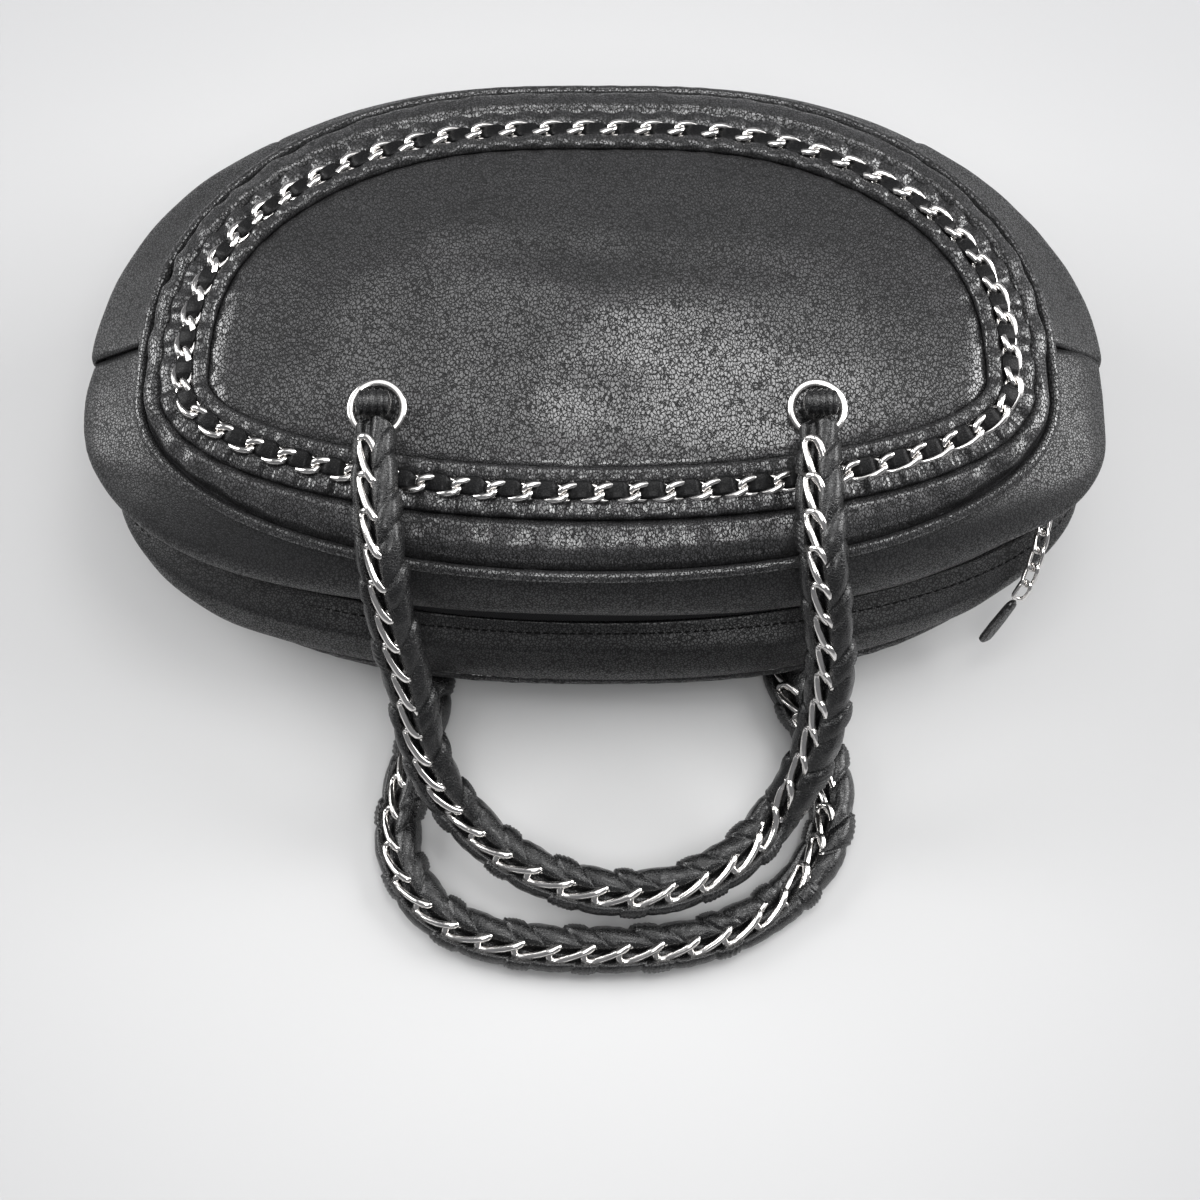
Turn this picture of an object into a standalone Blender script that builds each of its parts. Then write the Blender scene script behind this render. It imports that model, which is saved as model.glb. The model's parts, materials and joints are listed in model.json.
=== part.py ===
"""Soft bowler bag with laced chain trim, lying on its back panel.

The frame is the lying bag: +Z points out of the front panel, X runs along the
width and -Y points out of the zipped top edge, over which both handles flop.
Every leather wall is cut from one skin, a surface lofted through named
outlines from the crown of the front panel, round the gusset and the zip, to
the flat of the back panel. All lengths are metres.
"""

import math

import bmesh
import bpy
import numpy as np
from mathutils import Vector

# Driving sizes of the bag
WIDTH = 0.394
HEIGHT = 0.236
DEPTH = 0.128
GAP = 0.0003
LEATHER = 0.0018
LINING = 0.0009

# Trim round the front panel
CHAIN_WIRE = 0.0026
CHAIN_PITCH = 0.0132
CHAIN_WIDTH = 0.0086
CHAIN_CLEAR = 0.0007
LINK_TWIST_SLACK = 0.00008
LINK_SIDE_REACH_SHARE = 0.15
GROOVE_DEPTH = 0.0022
LACING_BASE = 0.0012
ROLL_DIAMETER = 0.0038
PIPING_DIAMETER = 0.0042
PIPING_LIFT = 0.0006

# Handles and eyelets
EYELET_PITCH = 0.162
EYELET_INSET = 0.0595
EYELET_OUTER = 0.0225
EYELET_HOLE = 0.0165
EYELET_RIM = 0.0022
EYELET_BARREL_WALL = 0.0008
EYELET_SEAT = 0.0006
EYELET_BEAD_SHARE = 0.4
HANDLE_WIDTH = 0.0185
HANDLE_THICKNESS = 0.0112
HANDLE_CHAIN_PROUD = 0.0008
FRONT_HANDLE_DROP = 0.206
BACK_HANDLE_DROP = 0.174
LANDING_REACH_SHARE = 0.60
DRAPE_SHARE = 0.66
ANCHOR_SLACK = 0.002
ANCHOR_STOP = 0.0036
KNUCKLE_SINK_SHARE = 0.2
PIVOT_CLEAR = 0.0011
LEDGE_SLACK = 0.0016
LEDGE_MARGIN = 0.007602
LEDGE_RUN = 0.01652

# Zip
ZIP_SLOT = 0.0126
TEETH_WIDTH = 0.0028
TEETH_THICKNESS = 0.0024
TEETH_SPLIT = 0.0010
TAPE_THICKNESS = 0.0010
TAPE_UNDER = 0.0026
TEETH_SINK = 0.0009
SLIDER_LENGTH = 0.0115
SLIDER_PLATE = 0.0018
PULL_WIRE = 0.0018
PULL_PITCH = 0.0074
PULL_WIDTH = 0.0062
PULL_TAB_LENGTH = 0.024
PULL_TAB_WIDTH = 0.0085
PULL_TAB_THICKNESS = 0.0030
PULL_REACH = 0.0235
END_TAB_LENGTH = 0.017
END_TAB_THICKNESS = 0.0022
END_TAB_INBOARD_SHARE = 0.4

# Base and inside
POCKET_WIDTH = 0.150
POCKET_RISE_SHARE = 0.62
BOARD_THICKNESS = 0.0024
FOOT_DIAMETER = 0.0125
FOOT_HEIGHT = 0.0055
FOOT_STEM = 0.0036
FOOT_WASHER = 0.0012
FOOT_TIP_SHARE = 0.7

# Mesh density
AROUND = 30
HANDLE_RINGS = 31
HANDLE_SOFTENING = 9
ZIP_STEPS = 21

# The outlines that the skin passes through, from the front crown to the back.
# Half width is a share of half the WIDTH; the reach towards the top edge, the
# reach towards the base and the centre are shares of the HEIGHT; the level at
# the sides, at the top edge and at the base are shares of the DEPTH. The last
# number is the corner power: 2 is an ellipse, more is squarer. The reach of
# the back ledge and of the flat towards the top edge, and the ledge's levels,
# follow the eyelets that sit on the ledge, and are filled in below.
OUTLINE_SHARES = {
    "front_crown": (0.000, 0.000, 0.000, 0.090, 1.000, 1.000, 1.000, 2.00),
    "front_field": (0.420, 0.110, 0.230, 0.050, 0.960, 0.970, 0.955, 2.00),
    "lacing": (0.787, 0.206, 0.458, 0.000, 0.855, 0.905, 0.860, 2.00),
    "band": (0.838, 0.267, 0.525, 0.000, 0.820, 0.870, 0.820, 2.05),
    "front_seam": (0.878, 0.322, 0.568, 0.000, 0.765, 0.805, 0.755, 2.08),
    "front_bulge": (0.997, 0.352, 0.618, 0.000, 0.594, 0.672, 0.640, 2.15),
    "front_roll": (0.985, 0.326, 0.627, 0.000, 0.516, 0.531, 0.531, 2.10),
    "zip": (0.962, 0.305, 0.627, 0.000, 0.445, 0.445, 0.445, 2.40),
    "back_bulge": (0.970, 0.356, 0.627, 0.000, 0.344, 0.336, 0.344, 2.40),
    "back_roll": (0.936, 0.373, 0.623, 0.000, 0.242, 0.242, 0.234, 2.40),
    "back_seam": (0.873, 0.356, 0.585, 0.000, 0.164, 0.172, 0.125, 2.40),
    "back_ledge": (0.761, 0.000, 0.450, 0.050, 0.000, 0.000, 0.040, 2.30),
    "back_flat": (0.660, 0.000, 0.240, 0.200, 0.000, 0.000, 0.000, 2.20),
    "back_centre": (0.000, 0.000, 0.000, 0.200, 0.000, 0.000, 0.000, 2.00),
}
BASE_BEND_SHARE = 0.625
BASE_TAPER_SHARE = 0.24
ZIP_CORNER_POWER = 12
ZIP_END_SHARE = 0.955
ZIP_SIDE_RISE_SHARE = 0.72

# Flat routes of the handles, unrolled: across in shares of half the eyelet
# pitch, along in shares of the handle's drop.
FRONT_ROUTE_SHARES = [
    (-1.00, 0.00), (-1.00, 0.14), (-0.97, 0.28), (-0.93, 0.42), (-0.86, 0.56),
    (-0.82, 0.68), (-0.70, 0.81), (-0.46, 0.915), (-0.15, 0.98), (0.18, 1.00),
    (0.50, 0.970), (0.78, 0.885), (0.97, 0.75), (1.05, 0.62), (1.07, 0.50),
    (1.04, 0.38), (1.00, 0.20), (1.00, 0.00),
]
BACK_ROUTE_SHARES = [
    (-1.00, 0.00), (-0.94, 0.16), (-0.83, 0.32), (-0.84, 0.46), (-0.92, 0.61),
    (-0.96, 0.73), (-0.91, 0.83), (-0.73, 0.93), (-0.42, 0.985), (0.03, 1.00),
    (0.48, 0.98), (0.83, 0.905), (1.06, 0.79), (1.13, 0.66), (1.08, 0.52),
    (0.95, 0.39), (0.90, 0.27), (0.95, 0.13), (1.00, 0.00),
]
# Right half of a handle's section, in shares of half its width and thickness
SECTION_SHARES = [(0.58, 0.93), (0.90, 0.70), (1.00, -0.15), (0.55, -1.00)]
# A wire's section: shares of half the wire towards the link's middle and across
LINK_SECTION_SHARES = [(1, 1), (1, -1), (-1, 0)]
# Route of the zip's pull, laid over the roll below the zip, in shares of its
# reach: back along the zip, outwards and up
PULL_ROUTE_SHARES = [
    (0.0, 0.0, 0.0), (0.07, 0.14, 0.0), (0.383, 0.489, -0.128), (0.787, 0.830, -0.511),
    (1.000, 0.885, -0.809),
]
PULL_TAB_DIRECTION = (0.58, 0.12, -0.80)
PULL_TAB_OUTLINE_SHARES = [(0.0, 0.45), (0.12, 0.70), (0.55, 1.0), (0.90, 0.92), (1.0, 0.55)]

NAMES = list(OUTLINE_SHARES)
STATIONS = np.arange(len(NAMES), dtype=float)
LACING = float(NAMES.index("lacing"))
FRONT_SEAM = float(NAMES.index("front_seam"))
ZIP = float(NAMES.index("zip"))
BACK_SEAM = float(NAMES.index("back_seam"))
BACK_END = float(NAMES.index("back_centre"))


def steady_slopes(values):
    """Slopes of a curve through evenly spaced values that never overshoots them."""
    steps = np.diff(values, axis=0)
    before, after = steps[:-1], steps[1:]
    total = before + after
    safe = np.where(np.abs(total) > 1e-12, total, 1.0)
    inner = np.where(before * after > 0, 2 * before * after / safe, 0.0)
    return np.concatenate([steps[:1], inner, steps[-1:]])


OUTLINES = np.array(list(OUTLINE_SHARES.values()))
OUTLINES[:, 0] *= WIDTH / 2
OUTLINES[:, 1:4] *= HEIGHT
OUTLINES[:, 4:7] *= DEPTH
LEDGE = HANDLE_THICKNESS + EYELET_RIM + EYELET_SEAT + PIVOT_CLEAR + LEDGE_SLACK
EYELET_Y = EYELET_INSET - OUTLINES[int(FRONT_SEAM), 1]
LEDGE_Y = EYELET_Y + EYELET_OUTER / 2 + LEDGE_MARGIN
OUTLINES[NAMES.index("back_ledge"), 4:6] = LEDGE
OUTLINES[NAMES.index("back_seam"), 5] = LEDGE + LEDGE_SLACK
OUTLINES[NAMES.index("back_ledge"), 1] = OUTLINES[NAMES.index("back_ledge"), 3] - LEDGE_Y
OUTLINES[NAMES.index("back_flat"), 1] = OUTLINES[NAMES.index("back_flat"), 3] - LEDGE_Y - LEDGE_RUN
OUTLINE_SLOPES = steady_slopes(OUTLINES)

ZIP_REACH, ZIP_LEVEL = OUTLINES[int(ZIP), 1], OUTLINES[int(ZIP), 4]
ZIP_HALF = OUTLINES[int(ZIP), 0] * ZIP_END_SHARE
ZIP_RISE = ZIP_REACH * ZIP_SIDE_RISE_SHARE
ZIP_RADIUS = (ZIP_HALF**2 + ZIP_RISE**2) / (2 * ZIP_RISE)
ZIP_CENTRE = np.array([0.0, ZIP_RADIUS - ZIP_REACH, ZIP_LEVEL])
ZIP_ANGLE = math.asin(ZIP_HALF / ZIP_RADIUS)


def outline_at(v):
    """The eight sizes of the outline at station v, between the named ones."""
    v = np.clip(v, 0.0, STATIONS[-1])
    low = np.minimum(v.astype(int), len(NAMES) - 2)
    t = (v - low)[..., None]
    p0, p1 = OUTLINES[low], OUTLINES[low + 1]
    m0, m1 = OUTLINE_SLOPES[low], OUTLINE_SLOPES[low + 1]
    return ((2 * t**3 - 3 * t**2 + 1) * p0 + (t**3 - 2 * t**2 + t) * m0
            + (3 * t**2 - 2 * t**3) * p1 + (t**3 - t**2) * m1)


def skin(u, v):
    """Point of the bag's outer skin at angle u round it and station v."""
    u, v = np.broadcast_arrays(np.asarray(u, float), np.asarray(v, float))
    half, top, base, centre, side_z, top_z, base_z, power = np.moveaxis(outline_at(v), -1, 0)
    c, s = np.cos(u), np.sin(u)
    over = s < 0
    bend = np.where(over, 2 / power, BASE_BEND_SHARE)
    taper = 1 - BASE_TAPER_SHARE * np.maximum(s, 0)**1.5
    x = half * np.sign(c) * np.abs(c)**bend
    y = np.where(over, top, base) * np.sign(s) * np.abs(s)**bend
    near_zip = np.clip(1 - np.abs(v - ZIP), 0, 1)
    near_zip = near_zip**2 * (3 - 2 * near_zip)
    share = np.minimum(np.abs(x) / np.maximum(half, GAP), 1.0)
    arc = ZIP_CENTRE[1] - np.sqrt(ZIP_RADIUS**2 - np.minimum(np.abs(x), ZIP_RADIUS)**2)
    arc = arc * (1 - share**ZIP_CORNER_POWER)**(1 / ZIP_CORNER_POWER)
    y = np.where(over, y + (arc - y) * near_zip, y)
    z = side_z * c**2 + np.where(over, top_z, base_z) * s**2
    return np.stack([x * taper, y + centre, z], -1)


def directions(u, v):
    """Unit vectors at a point of the skin: square off its outline, and outwards."""
    d = 0.01
    run = unit(skin(u + d, v) - skin(u - d, v))
    drop = skin(u, np.minimum(v + d, BACK_END)) - skin(u, np.maximum(v - d, 0.0))
    out = unit(np.cross(drop, run))
    return np.cross(run, out), out


def unit(vectors):
    """The same vectors with length one."""
    lengths = np.linalg.norm(vectors, axis=-1, keepdims=True)
    return vectors / np.maximum(lengths, 1e-12)


def station_near(u, v, along):
    """Station that lies the distance `along` past the outline v, measured square to it."""
    here = np.full(np.shape(u), float(v))
    square = directions(u, here)[0]
    start = skin(u, here)
    for _ in range(5):
        travelled = ((skin(u, here) - start) * square).sum(-1)
        slope = ((skin(u, here + 0.01) - skin(u, here - 0.01)) * square).sum(-1) / 0.02
        here = here + (along - travelled) / np.maximum(slope, GAP)
    return here


def material(name, colour, roughness, metallic=0.0):
    """A plain Principled material of this name, made once."""
    made = bpy.data.materials.get(name)
    if made is None:
        made = bpy.data.materials.new(name)
        made.use_nodes = True
        shader = made.node_tree.nodes["Principled BSDF"]
        shader.inputs["Base Color"].default_value = (*colour, 1.0)
        shader.inputs["Roughness"].default_value = roughness
        shader.inputs["Metallic"].default_value = metallic
        made.diffuse_color = (*colour, 1.0)
    return made


def add_object(name, verts, faces, look, pivot=(0.0, 0.0, 0.0), smooth=True):
    """A closed mesh object whose faces point out, with its origin at the pivot."""
    pivot = np.asarray(pivot, float)
    mesh = bpy.data.meshes.new(name)
    mesh.from_pydata([tuple(p) for p in np.asarray(verts, float) - pivot], [], faces)
    bm = bmesh.new()
    bm.from_mesh(mesh)
    if bm.calc_volume(signed=True) < 0:
        bmesh.ops.reverse_faces(bm, faces=bm.faces[:])
    bm.to_mesh(mesh)
    bm.free()
    if smooth:
        mesh.shade_smooth()
        mesh.set_sharp_from_angle(angle=math.radians(40))
    mesh.materials.append(look)
    made = bpy.data.objects.new(name, mesh)
    made.location = Vector(pivot)
    bpy.context.collection.objects.link(made)
    return made


def ring_faces(rows, count, first=0, closed=False):
    """Quads that join rows of `count` points, and end caps unless the run is closed."""
    faces = []
    for row in range(rows if closed else rows - 1):
        low, high = row * count, (row + 1) % rows * count
        for k in range(count):
            n = (k + 1) % count
            faces.append([first + low + k, first + low + n, first + high + n, first + high + k])
    if not closed:
        faces.append([first + k for k in reversed(range(count))])
        faces.append([first + (rows - 1) * count + k for k in range(count)])
    return faces


def loft(name, rings, look, closed=False, pivot=(0.0, 0.0, 0.0), smooth=True):
    """One solid through a run of equal rings."""
    rings = np.asarray(rings)
    faces = ring_faces(rings.shape[0], rings.shape[1], closed=closed)
    return add_object(name, rings.reshape(-1, 3), faces, look, pivot, smooth)


def wall_rings(us, rows, thickness, lift=0.0):
    """Cross-sections of a wall at each angle: its outer rows, then its inner ones.

    A row is a station and a distance past it, a number or a function of u.
    """
    outer, inner = [], []
    for station, along in rows:
        along = along(us) if callable(along) else np.full(us.shape, float(along))
        v = station_near(us, station, along) if np.any(along) else np.full(us.shape, float(station))
        out = directions(us, v)[1]
        face = skin(us, v) + out * lift
        outer.append(face)
        inner.append(face - out * thickness)
    return np.stack(outer + inner[::-1], axis=1)


def dome(name, stations, edge, thickness, look, depth=0.0, count=AROUND):
    """A round wall that covers one end of the skin, from its centre to an edge row."""
    us = np.arange(count) * 2 * math.pi / count
    rings = wall_rings(us, [(s, 0.0) for s in stations[1:]] + [edge], thickness, -depth)
    rows = rings.shape[1]
    centre_out = np.array([0.0, 0.0, 1.0 if stations[0] < ZIP else -1.0])
    top = skin(0.0, stations[0]) - centre_out * depth
    verts = np.concatenate([rings.reshape(-1, 3), [top, top - centre_out * thickness]])
    faces = []
    for i in range(count):
        j = (i + 1) % count
        for k in range(rows - 1):
            faces.append([i * rows + k, i * rows + k + 1, j * rows + k + 1, j * rows + k])
        faces.append([len(verts) - 2, i * rows, j * rows])
        faces.append([len(verts) - 1, j * rows + rows - 1, i * rows + rows - 1])
    return add_object(name, verts, faces, look)


def round_section(diameter, sides):
    """Points of a regular section, one side flat to the skin."""
    angles = (np.arange(sides) + 0.5) * 2 * math.pi / sides
    return np.stack([np.cos(angles), np.sin(angles)], -1) * diameter / 2


def skin_run(us, station, along, section, lift):
    """Rings of a section that runs on the skin: first axis along, second axis out."""
    v = station_near(us, station, np.full(us.shape, float(along)))
    drop, out = directions(us, v)
    base = skin(us, v) + out * lift
    return (base[:, None] + section[None, :, :1] * drop[:, None]
            + section[None, :, 1:] * out[:, None])


def even_points(points, count, closed=False):
    """Points at even steps along a dense line, with both ends unless it is closed."""
    if closed:
        points = np.concatenate([points, points[:1]])
    steps = np.linalg.norm(np.diff(points, axis=0), axis=1)
    length = np.concatenate([[0.0], np.cumsum(steps)])
    at = np.linspace(0, length[-1], count, endpoint=not closed)
    return np.stack([np.interp(at, length, points[:, k]) for k in range(3)], -1), length[-1]


def smooth_line(knots, per_knot=24):
    """Dense points of a Catmull-Rom curve through the knots."""
    knots = np.asarray(knots, float)
    ends = np.concatenate([[2 * knots[0] - knots[1]], knots, [2 * knots[-1] - knots[-2]]])
    line = []
    for a, b, c, d in zip(ends[:-3], ends[1:-2], ends[2:-1], ends[3:]):
        t = np.linspace(0, 1, per_knot, endpoint=False)[:, None]
        line.append(0.5 * (2 * b + (c - a) * t + (2 * a - 5 * b + 4 * c - d) * t**2
                           + (3 * b - a - 3 * c + d) * t**3))
    return np.concatenate(line + [knots[-1:]])


# Chain


def line_frames(line, ups, closed):
    """Function from a distance along a dense line to its point and axes, and its length.

    The axes are along the line, across it and up.
    """
    if closed:
        line, ups = np.concatenate([line, line[:1]]), np.concatenate([ups, ups[:1]])
    steps = np.linalg.norm(np.diff(line, axis=0), axis=1)
    length = np.concatenate([[0.0], np.cumsum(steps)])
    total = length[-1]

    def at(distance, rows):
        if closed:
            distance = distance % total
        return np.array([np.interp(distance, length, rows[:, k]) for k in range(3)])

    def frame(distance):
        reach = total / len(line) / 2
        ahead = unit(at(distance + reach, line) - at(distance - reach, line))
        across = unit(np.cross(at(distance, ups), ahead))
        return at(distance, line), ahead, across, np.cross(ahead, across)

    return frame, total


def link_height(wire):
    """Half of the height that a lying curb chain takes."""
    return wire + LINK_TWIST_SLACK


def chain(name, line, ups, pitch, width, wire, look, closed=False, pivot=(0.0, 0.0, 0.0)):
    """A curb chain laid along a dense line, as one solid of touching links.

    Each link is a twisted oval of eight sections of wire. Where two links pull
    on each other, their wires cross at a right angle and share one square
    facet, whose corners both links use.
    """
    frame, total = line_frames(line, np.broadcast_to(ups, line.shape), closed)
    half, side, lift = wire / 2, (width - wire) / 2, wire / 2 + LINK_TWIST_SLACK
    inset = 0.0 if closed else wire
    links = max(int(round((total - 2 * inset) / pitch)), 2)
    step = (total - 2 * inset) / links
    reach = step * LINK_SIDE_REACH_SHARE
    verts, faces = [], []
    contacts = []
    for j in range(links if closed else links + 1):
        point, _, across, up = frame(inset + j * step)
        corner = half * math.sqrt(2)
        contacts.append([len(verts) + k for k in range(4)])
        verts += [point - up * corner, point + across * corner]
        verts += [point + up * corner, point - across * corner]

    def section_ring(point, inward, turned, shared=None):
        """Indices of one section of wire; its two inner corners may be a contact's."""
        ring = list(shared) if shared else []
        for a, b in LINK_SECTION_SHARES[len(ring):]:
            ring.append(len(verts))
            verts.append(point + inward * half * a + turned * half * b)
        return ring

    def end_rings(contact, distance, sign):
        """Both sections of the wire that crosses a contact, beyond it in this direction."""
        point, ahead, across, up = frame(distance)
        run, turned = unit(up + across * sign), -unit(up - across * sign)
        middle = point + ahead * sign * half
        down, plus, high, minus = contact
        pairs = ((down, minus), (plus, high)) if sign > 0 else ((down, plus), (minus, high))
        return [section_ring(middle + run * half * k, ahead * -sign, turned, pair)
                for k, pair in zip((-1, 1), pairs)]

    def side_ring(distance, sign, rise):
        """Section of a link's side wire at a distance along the line."""
        point, _, across, up = frame(distance)
        return section_ring(point + across * side * sign + up * rise, across * -sign, -up)

    for i in range(links):
        start, end = inset + i * step, inset + (i + 1) * step
        first, last = contacts[i], contacts[(i + 1) % len(contacts)]
        rings = end_rings(last, end, 1)
        rings += [side_ring(end - reach, 1, lift), side_ring(start + reach, 1, -lift)]
        rings += end_rings(first, start, -1)
        rings += [side_ring(start + reach, -1, lift), side_ring(end - reach, -1, -lift)]
        open_spans = {0: closed or i < links - 1, 4: closed or i > 0}
        for k, ring in enumerate(rings):
            following = rings[(k + 1) % len(rings)]
            for c in range(len(ring)):
                if c == 0 and open_spans.get(k, False):
                    continue
                n = (c + 1) % len(ring)
                faces.append([ring[c], ring[n], following[n], following[c]])
    return add_object(name, verts, faces, look, pivot)


def hide_tool(tool):
    """Keep an object as a cutter only."""
    tool.hide_render = True
    tool.display_type = "WIRE"


def join_with(target, other):
    """Unite another closed solid with the target."""
    hide_tool(other)
    union = target.modifiers.new("union_" + other.name, "BOOLEAN")
    union.operation = "UNION"
    union.object = other


def cut_with(target, cutter):
    """Cut a closed solid out of the target."""
    hide_tool(cutter)
    cut = target.modifiers.new("cut_" + cutter.name, "BOOLEAN")
    cut.operation = "DIFFERENCE"
    cut.object = cutter


# Places worked out from the driving sizes

LEATHER_LOOK = ("black_leather", (0.030, 0.029, 0.031), 0.48, 0.0)
METAL_LOOK = ("bright_nickel", (0.74, 0.72, 0.69), 0.20, 1.0)
CLOTH_LOOK = ("black_lining", (0.018, 0.018, 0.020), 0.85, 0.0)
TAPE_LOOK = ("zip_tape", (0.014, 0.014, 0.015), 0.90, 0.0)
BOARD_LOOK = ("base_board", (0.090, 0.085, 0.080), 0.80, 0.0)

PIPING_RADIUS = PIPING_DIAMETER / 2
ROLL_RADIUS = ROLL_DIAMETER / 2
HANDLE_HALF = HANDLE_THICKNESS / 2
GROOVE_HALF = CHAIN_WIDTH / 2 + CHAIN_CLEAR + GAP
ROLL_AT = GROOVE_HALF + GAP + ROLL_RADIUS
BAND_START = ROLL_AT + ROLL_RADIUS + GAP
SEAM_CLEAR = PIPING_RADIUS + GAP
LINING_SETBACK = GROOVE_DEPTH + LACING_BASE + GAP
EYELET_STACK = LINING_SETBACK + LINING + 2 * EYELET_SEAT

STEP = 2 * math.pi / AROUND
RING_US = np.arange(AROUND) * STEP
SIDE_SEAM = STEP / 4
SEAM_TURN = STEP / 18
SLOT_SHUT, SLOT_OPEN = STEP / 3, STEP
FRONT_EYELET_STATION, BACK_EYELET_STATION = LACING - 0.6, BACK_SEAM + 0.9
BOARD_STATIONS = (FRONT_SEAM + 1, BACK_SEAM - 1)
FOOT_STATIONS = (ZIP - 1, ZIP + 1)
FOOT_ANGLE = 5.5 * STEP
TOP_ENDS = [-SIDE_SEAM, SLOT_SHUT]
TOP_US = np.concatenate([[math.pi + e for e in TOP_ENDS],
                         RING_US[(RING_US > math.pi + SLOT_SHUT) & (RING_US < 2 * math.pi)],
                         [2 * math.pi - e for e in TOP_ENDS[::-1]]])
BASE_CORNER = 4 * STEP


def slot_half(us):
    """Half of the zip slot's width, which closes past the ends of the zip."""
    past = np.minimum(us - math.pi, 2 * math.pi - us)
    open_share = np.clip((past - SLOT_SHUT) / (SLOT_OPEN - SLOT_SHUT), 0, 1)
    return GAP / 2 + (ZIP_SLOT / 2 - GAP / 2) * open_share


def skin_spot(x, y, v):
    """Angle and station where the skin passes through x and y, searched from v."""
    u, step = 1.5 * math.pi + math.copysign(math.pi / 4, x), 1e-4
    for _ in range(40):
        here = skin(u, v)[:2]
        by_u = (skin(u + step, v)[:2] - here) / step
        by_v = (skin(u, v + step)[:2] - here) / step
        move = np.linalg.solve(np.stack([by_u, by_v], -1), np.array([x, y]) - here)
        u += float(np.clip(move[0], -0.2, 0.2))
        v += float(np.clip(move[1], -0.3, 0.3))
    return u, v


def placed(origin, up, across=(1.0, 0.0, 0.0)):
    """Matrix of a local frame whose z is `up` and whose x lies nearest `across`."""
    up = unit(np.asarray(up, float))
    y = unit(np.cross(up, across))
    x = np.cross(y, up)
    return np.array(origin, float), np.stack([x, y, up])


def stack(name, profile, frame, look, sides=16, pivot=(0.0, 0.0, 0.0)):
    """A turned solid through radius and height pairs, capped at both ends."""
    origin, axes = frame
    angles = (np.arange(sides) + 0.5) * 2 * math.pi / sides
    rings = [np.stack([r * np.cos(angles), r * np.sin(angles), np.full(sides, h)], -1)
             for r, h in profile]
    return loft(name, np.array(rings) @ axes + origin, look, pivot=pivot)


def ring_turned(name, profile, frame, look, sides=12):
    """A turned ring with this closed section of radius and height pairs."""
    origin, axes = frame
    angles = (np.arange(sides) + 0.5) * 2 * math.pi / sides
    rings = [[[r * math.cos(a), r * math.sin(a), h] for r, h in profile] for a in angles]
    return loft(name, np.array(rings) @ axes + origin, look, closed=True)


# Leather walls


def make_front_panel():
    look = material(*LEATHER_LOOK)
    return dome("front_panel", [0, 0.5, 1, 1.5], (LACING, -GROOVE_HALF), LEATHER, look)


def make_front_trim():
    leather, metal = material(*LEATHER_LOOK), material(*METAL_LOOK)
    band_rows = [(LACING, BAND_START), (LACING + 1, 0.0), (FRONT_SEAM, -SEAM_CLEAR)]
    loft("front_band", wall_rings(RING_US, band_rows, LEATHER), leather, closed=True)
    base_rows = [(LACING, -GROOVE_HALF + GAP), (LACING, GROOVE_HALF - GAP)]
    loft("front_lacing_base", wall_rings(RING_US, base_rows, LACING_BASE, -GROOVE_DEPTH),
         leather, closed=True)
    rolled = skin_run(RING_US, LACING, ROLL_AT, round_section(ROLL_DIAMETER, 5), 0.0)
    loft("front_rolled_strip", rolled, leather, closed=True)
    half_height = link_height(CHAIN_WIRE)
    out = directions(RING_US, np.full(RING_US.shape, LACING))[1]
    line = skin(RING_US, LACING) + out * (half_height + CHAIN_CLEAR - GROOVE_DEPTH)
    chain("front_lacing_chain", line, out, CHAIN_PITCH, CHAIN_WIDTH, CHAIN_WIRE, metal, closed=True)


def make_pipings():
    look = material(*LEATHER_LOOK)
    for name, station in (("front_piping", FRONT_SEAM), ("back_piping", BACK_SEAM)):
        rings = skin_run(RING_US, station, 0.0, round_section(PIPING_DIAMETER, 5), PIPING_LIFT)
        loft(name, rings, look, closed=True)


def make_gussets():
    look = material(*LEATHER_LOOK)
    front_rows = [(FRONT_SEAM, SEAM_CLEAR), (FRONT_SEAM + 1, 0.0), (ZIP - 1, 0.0),
                  (ZIP, lambda us: -slot_half(us) - TAPE_UNDER), (ZIP, lambda us: -slot_half(us))]
    back_rows = [(ZIP, slot_half), (ZIP, lambda us: slot_half(us) + TAPE_UNDER), (ZIP + 1, 0.0),
                 (ZIP + 2, 0.0), (BACK_SEAM, -SEAM_CLEAR)]
    loft("front_top_gusset", wall_rings(TOP_US, front_rows, LEATHER), look)
    loft("back_top_gusset", wall_rings(TOP_US, back_rows, LEATHER), look)
    rows = [(FRONT_SEAM, SEAM_CLEAR)] + [(FRONT_SEAM + k, 0.0) for k in range(1, 6)]
    rows.append((BACK_SEAM, -SEAM_CLEAR))
    inner = RING_US[(RING_US > SIDE_SEAM + STEP / 2) & (RING_US < BASE_CORNER - STEP / 2)]
    right = np.concatenate([[SIDE_SEAM + SEAM_TURN], inner, [BASE_CORNER - SEAM_TURN / 2]])
    low, high = BASE_CORNER + SEAM_TURN / 2, math.pi - BASE_CORNER - SEAM_TURN / 2
    inner = RING_US[(RING_US > low + STEP / 2) & (RING_US < high - STEP / 2)]
    base = np.concatenate([[low], inner, [high]])
    loft("right_side_gusset", wall_rings(right, rows, LEATHER), look)
    loft("left_side_gusset", wall_rings(math.pi - right[::-1], rows, LEATHER), look)
    base_rows = [rows[0], rows[1], (ZIP, 0.0), rows[5], rows[6]]
    return loft("base_panel", wall_rings(base, base_rows, LEATHER), look)


def make_back_panel():
    look = material(*LEATHER_LOOK)
    stations = [BACK_END, BACK_END - 1, BACK_END - 1.5, BACK_END - 2, BACK_END - 2.5]
    return dome("back_panel", stations, (BACK_SEAM, SEAM_CLEAR), LEATHER, look)


def make_linings():
    look = material(*CLOTH_LOOK)
    front = dome("front_lining", [0, 0.5, 1, 1.5, LACING, FRONT_SEAM + 1],
                 (ZIP, lambda us: -edge_of(us)), LINING, look, LINING_SETBACK)
    stations = [BACK_END, BACK_END - 1, BACK_END - 1.5, BACK_END - 2, BACK_END - 2.5, BACK_SEAM - 1]
    back = dome("back_lining", stations, (ZIP, edge_of), LINING, look, LINING_SETBACK)
    return front, back


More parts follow.
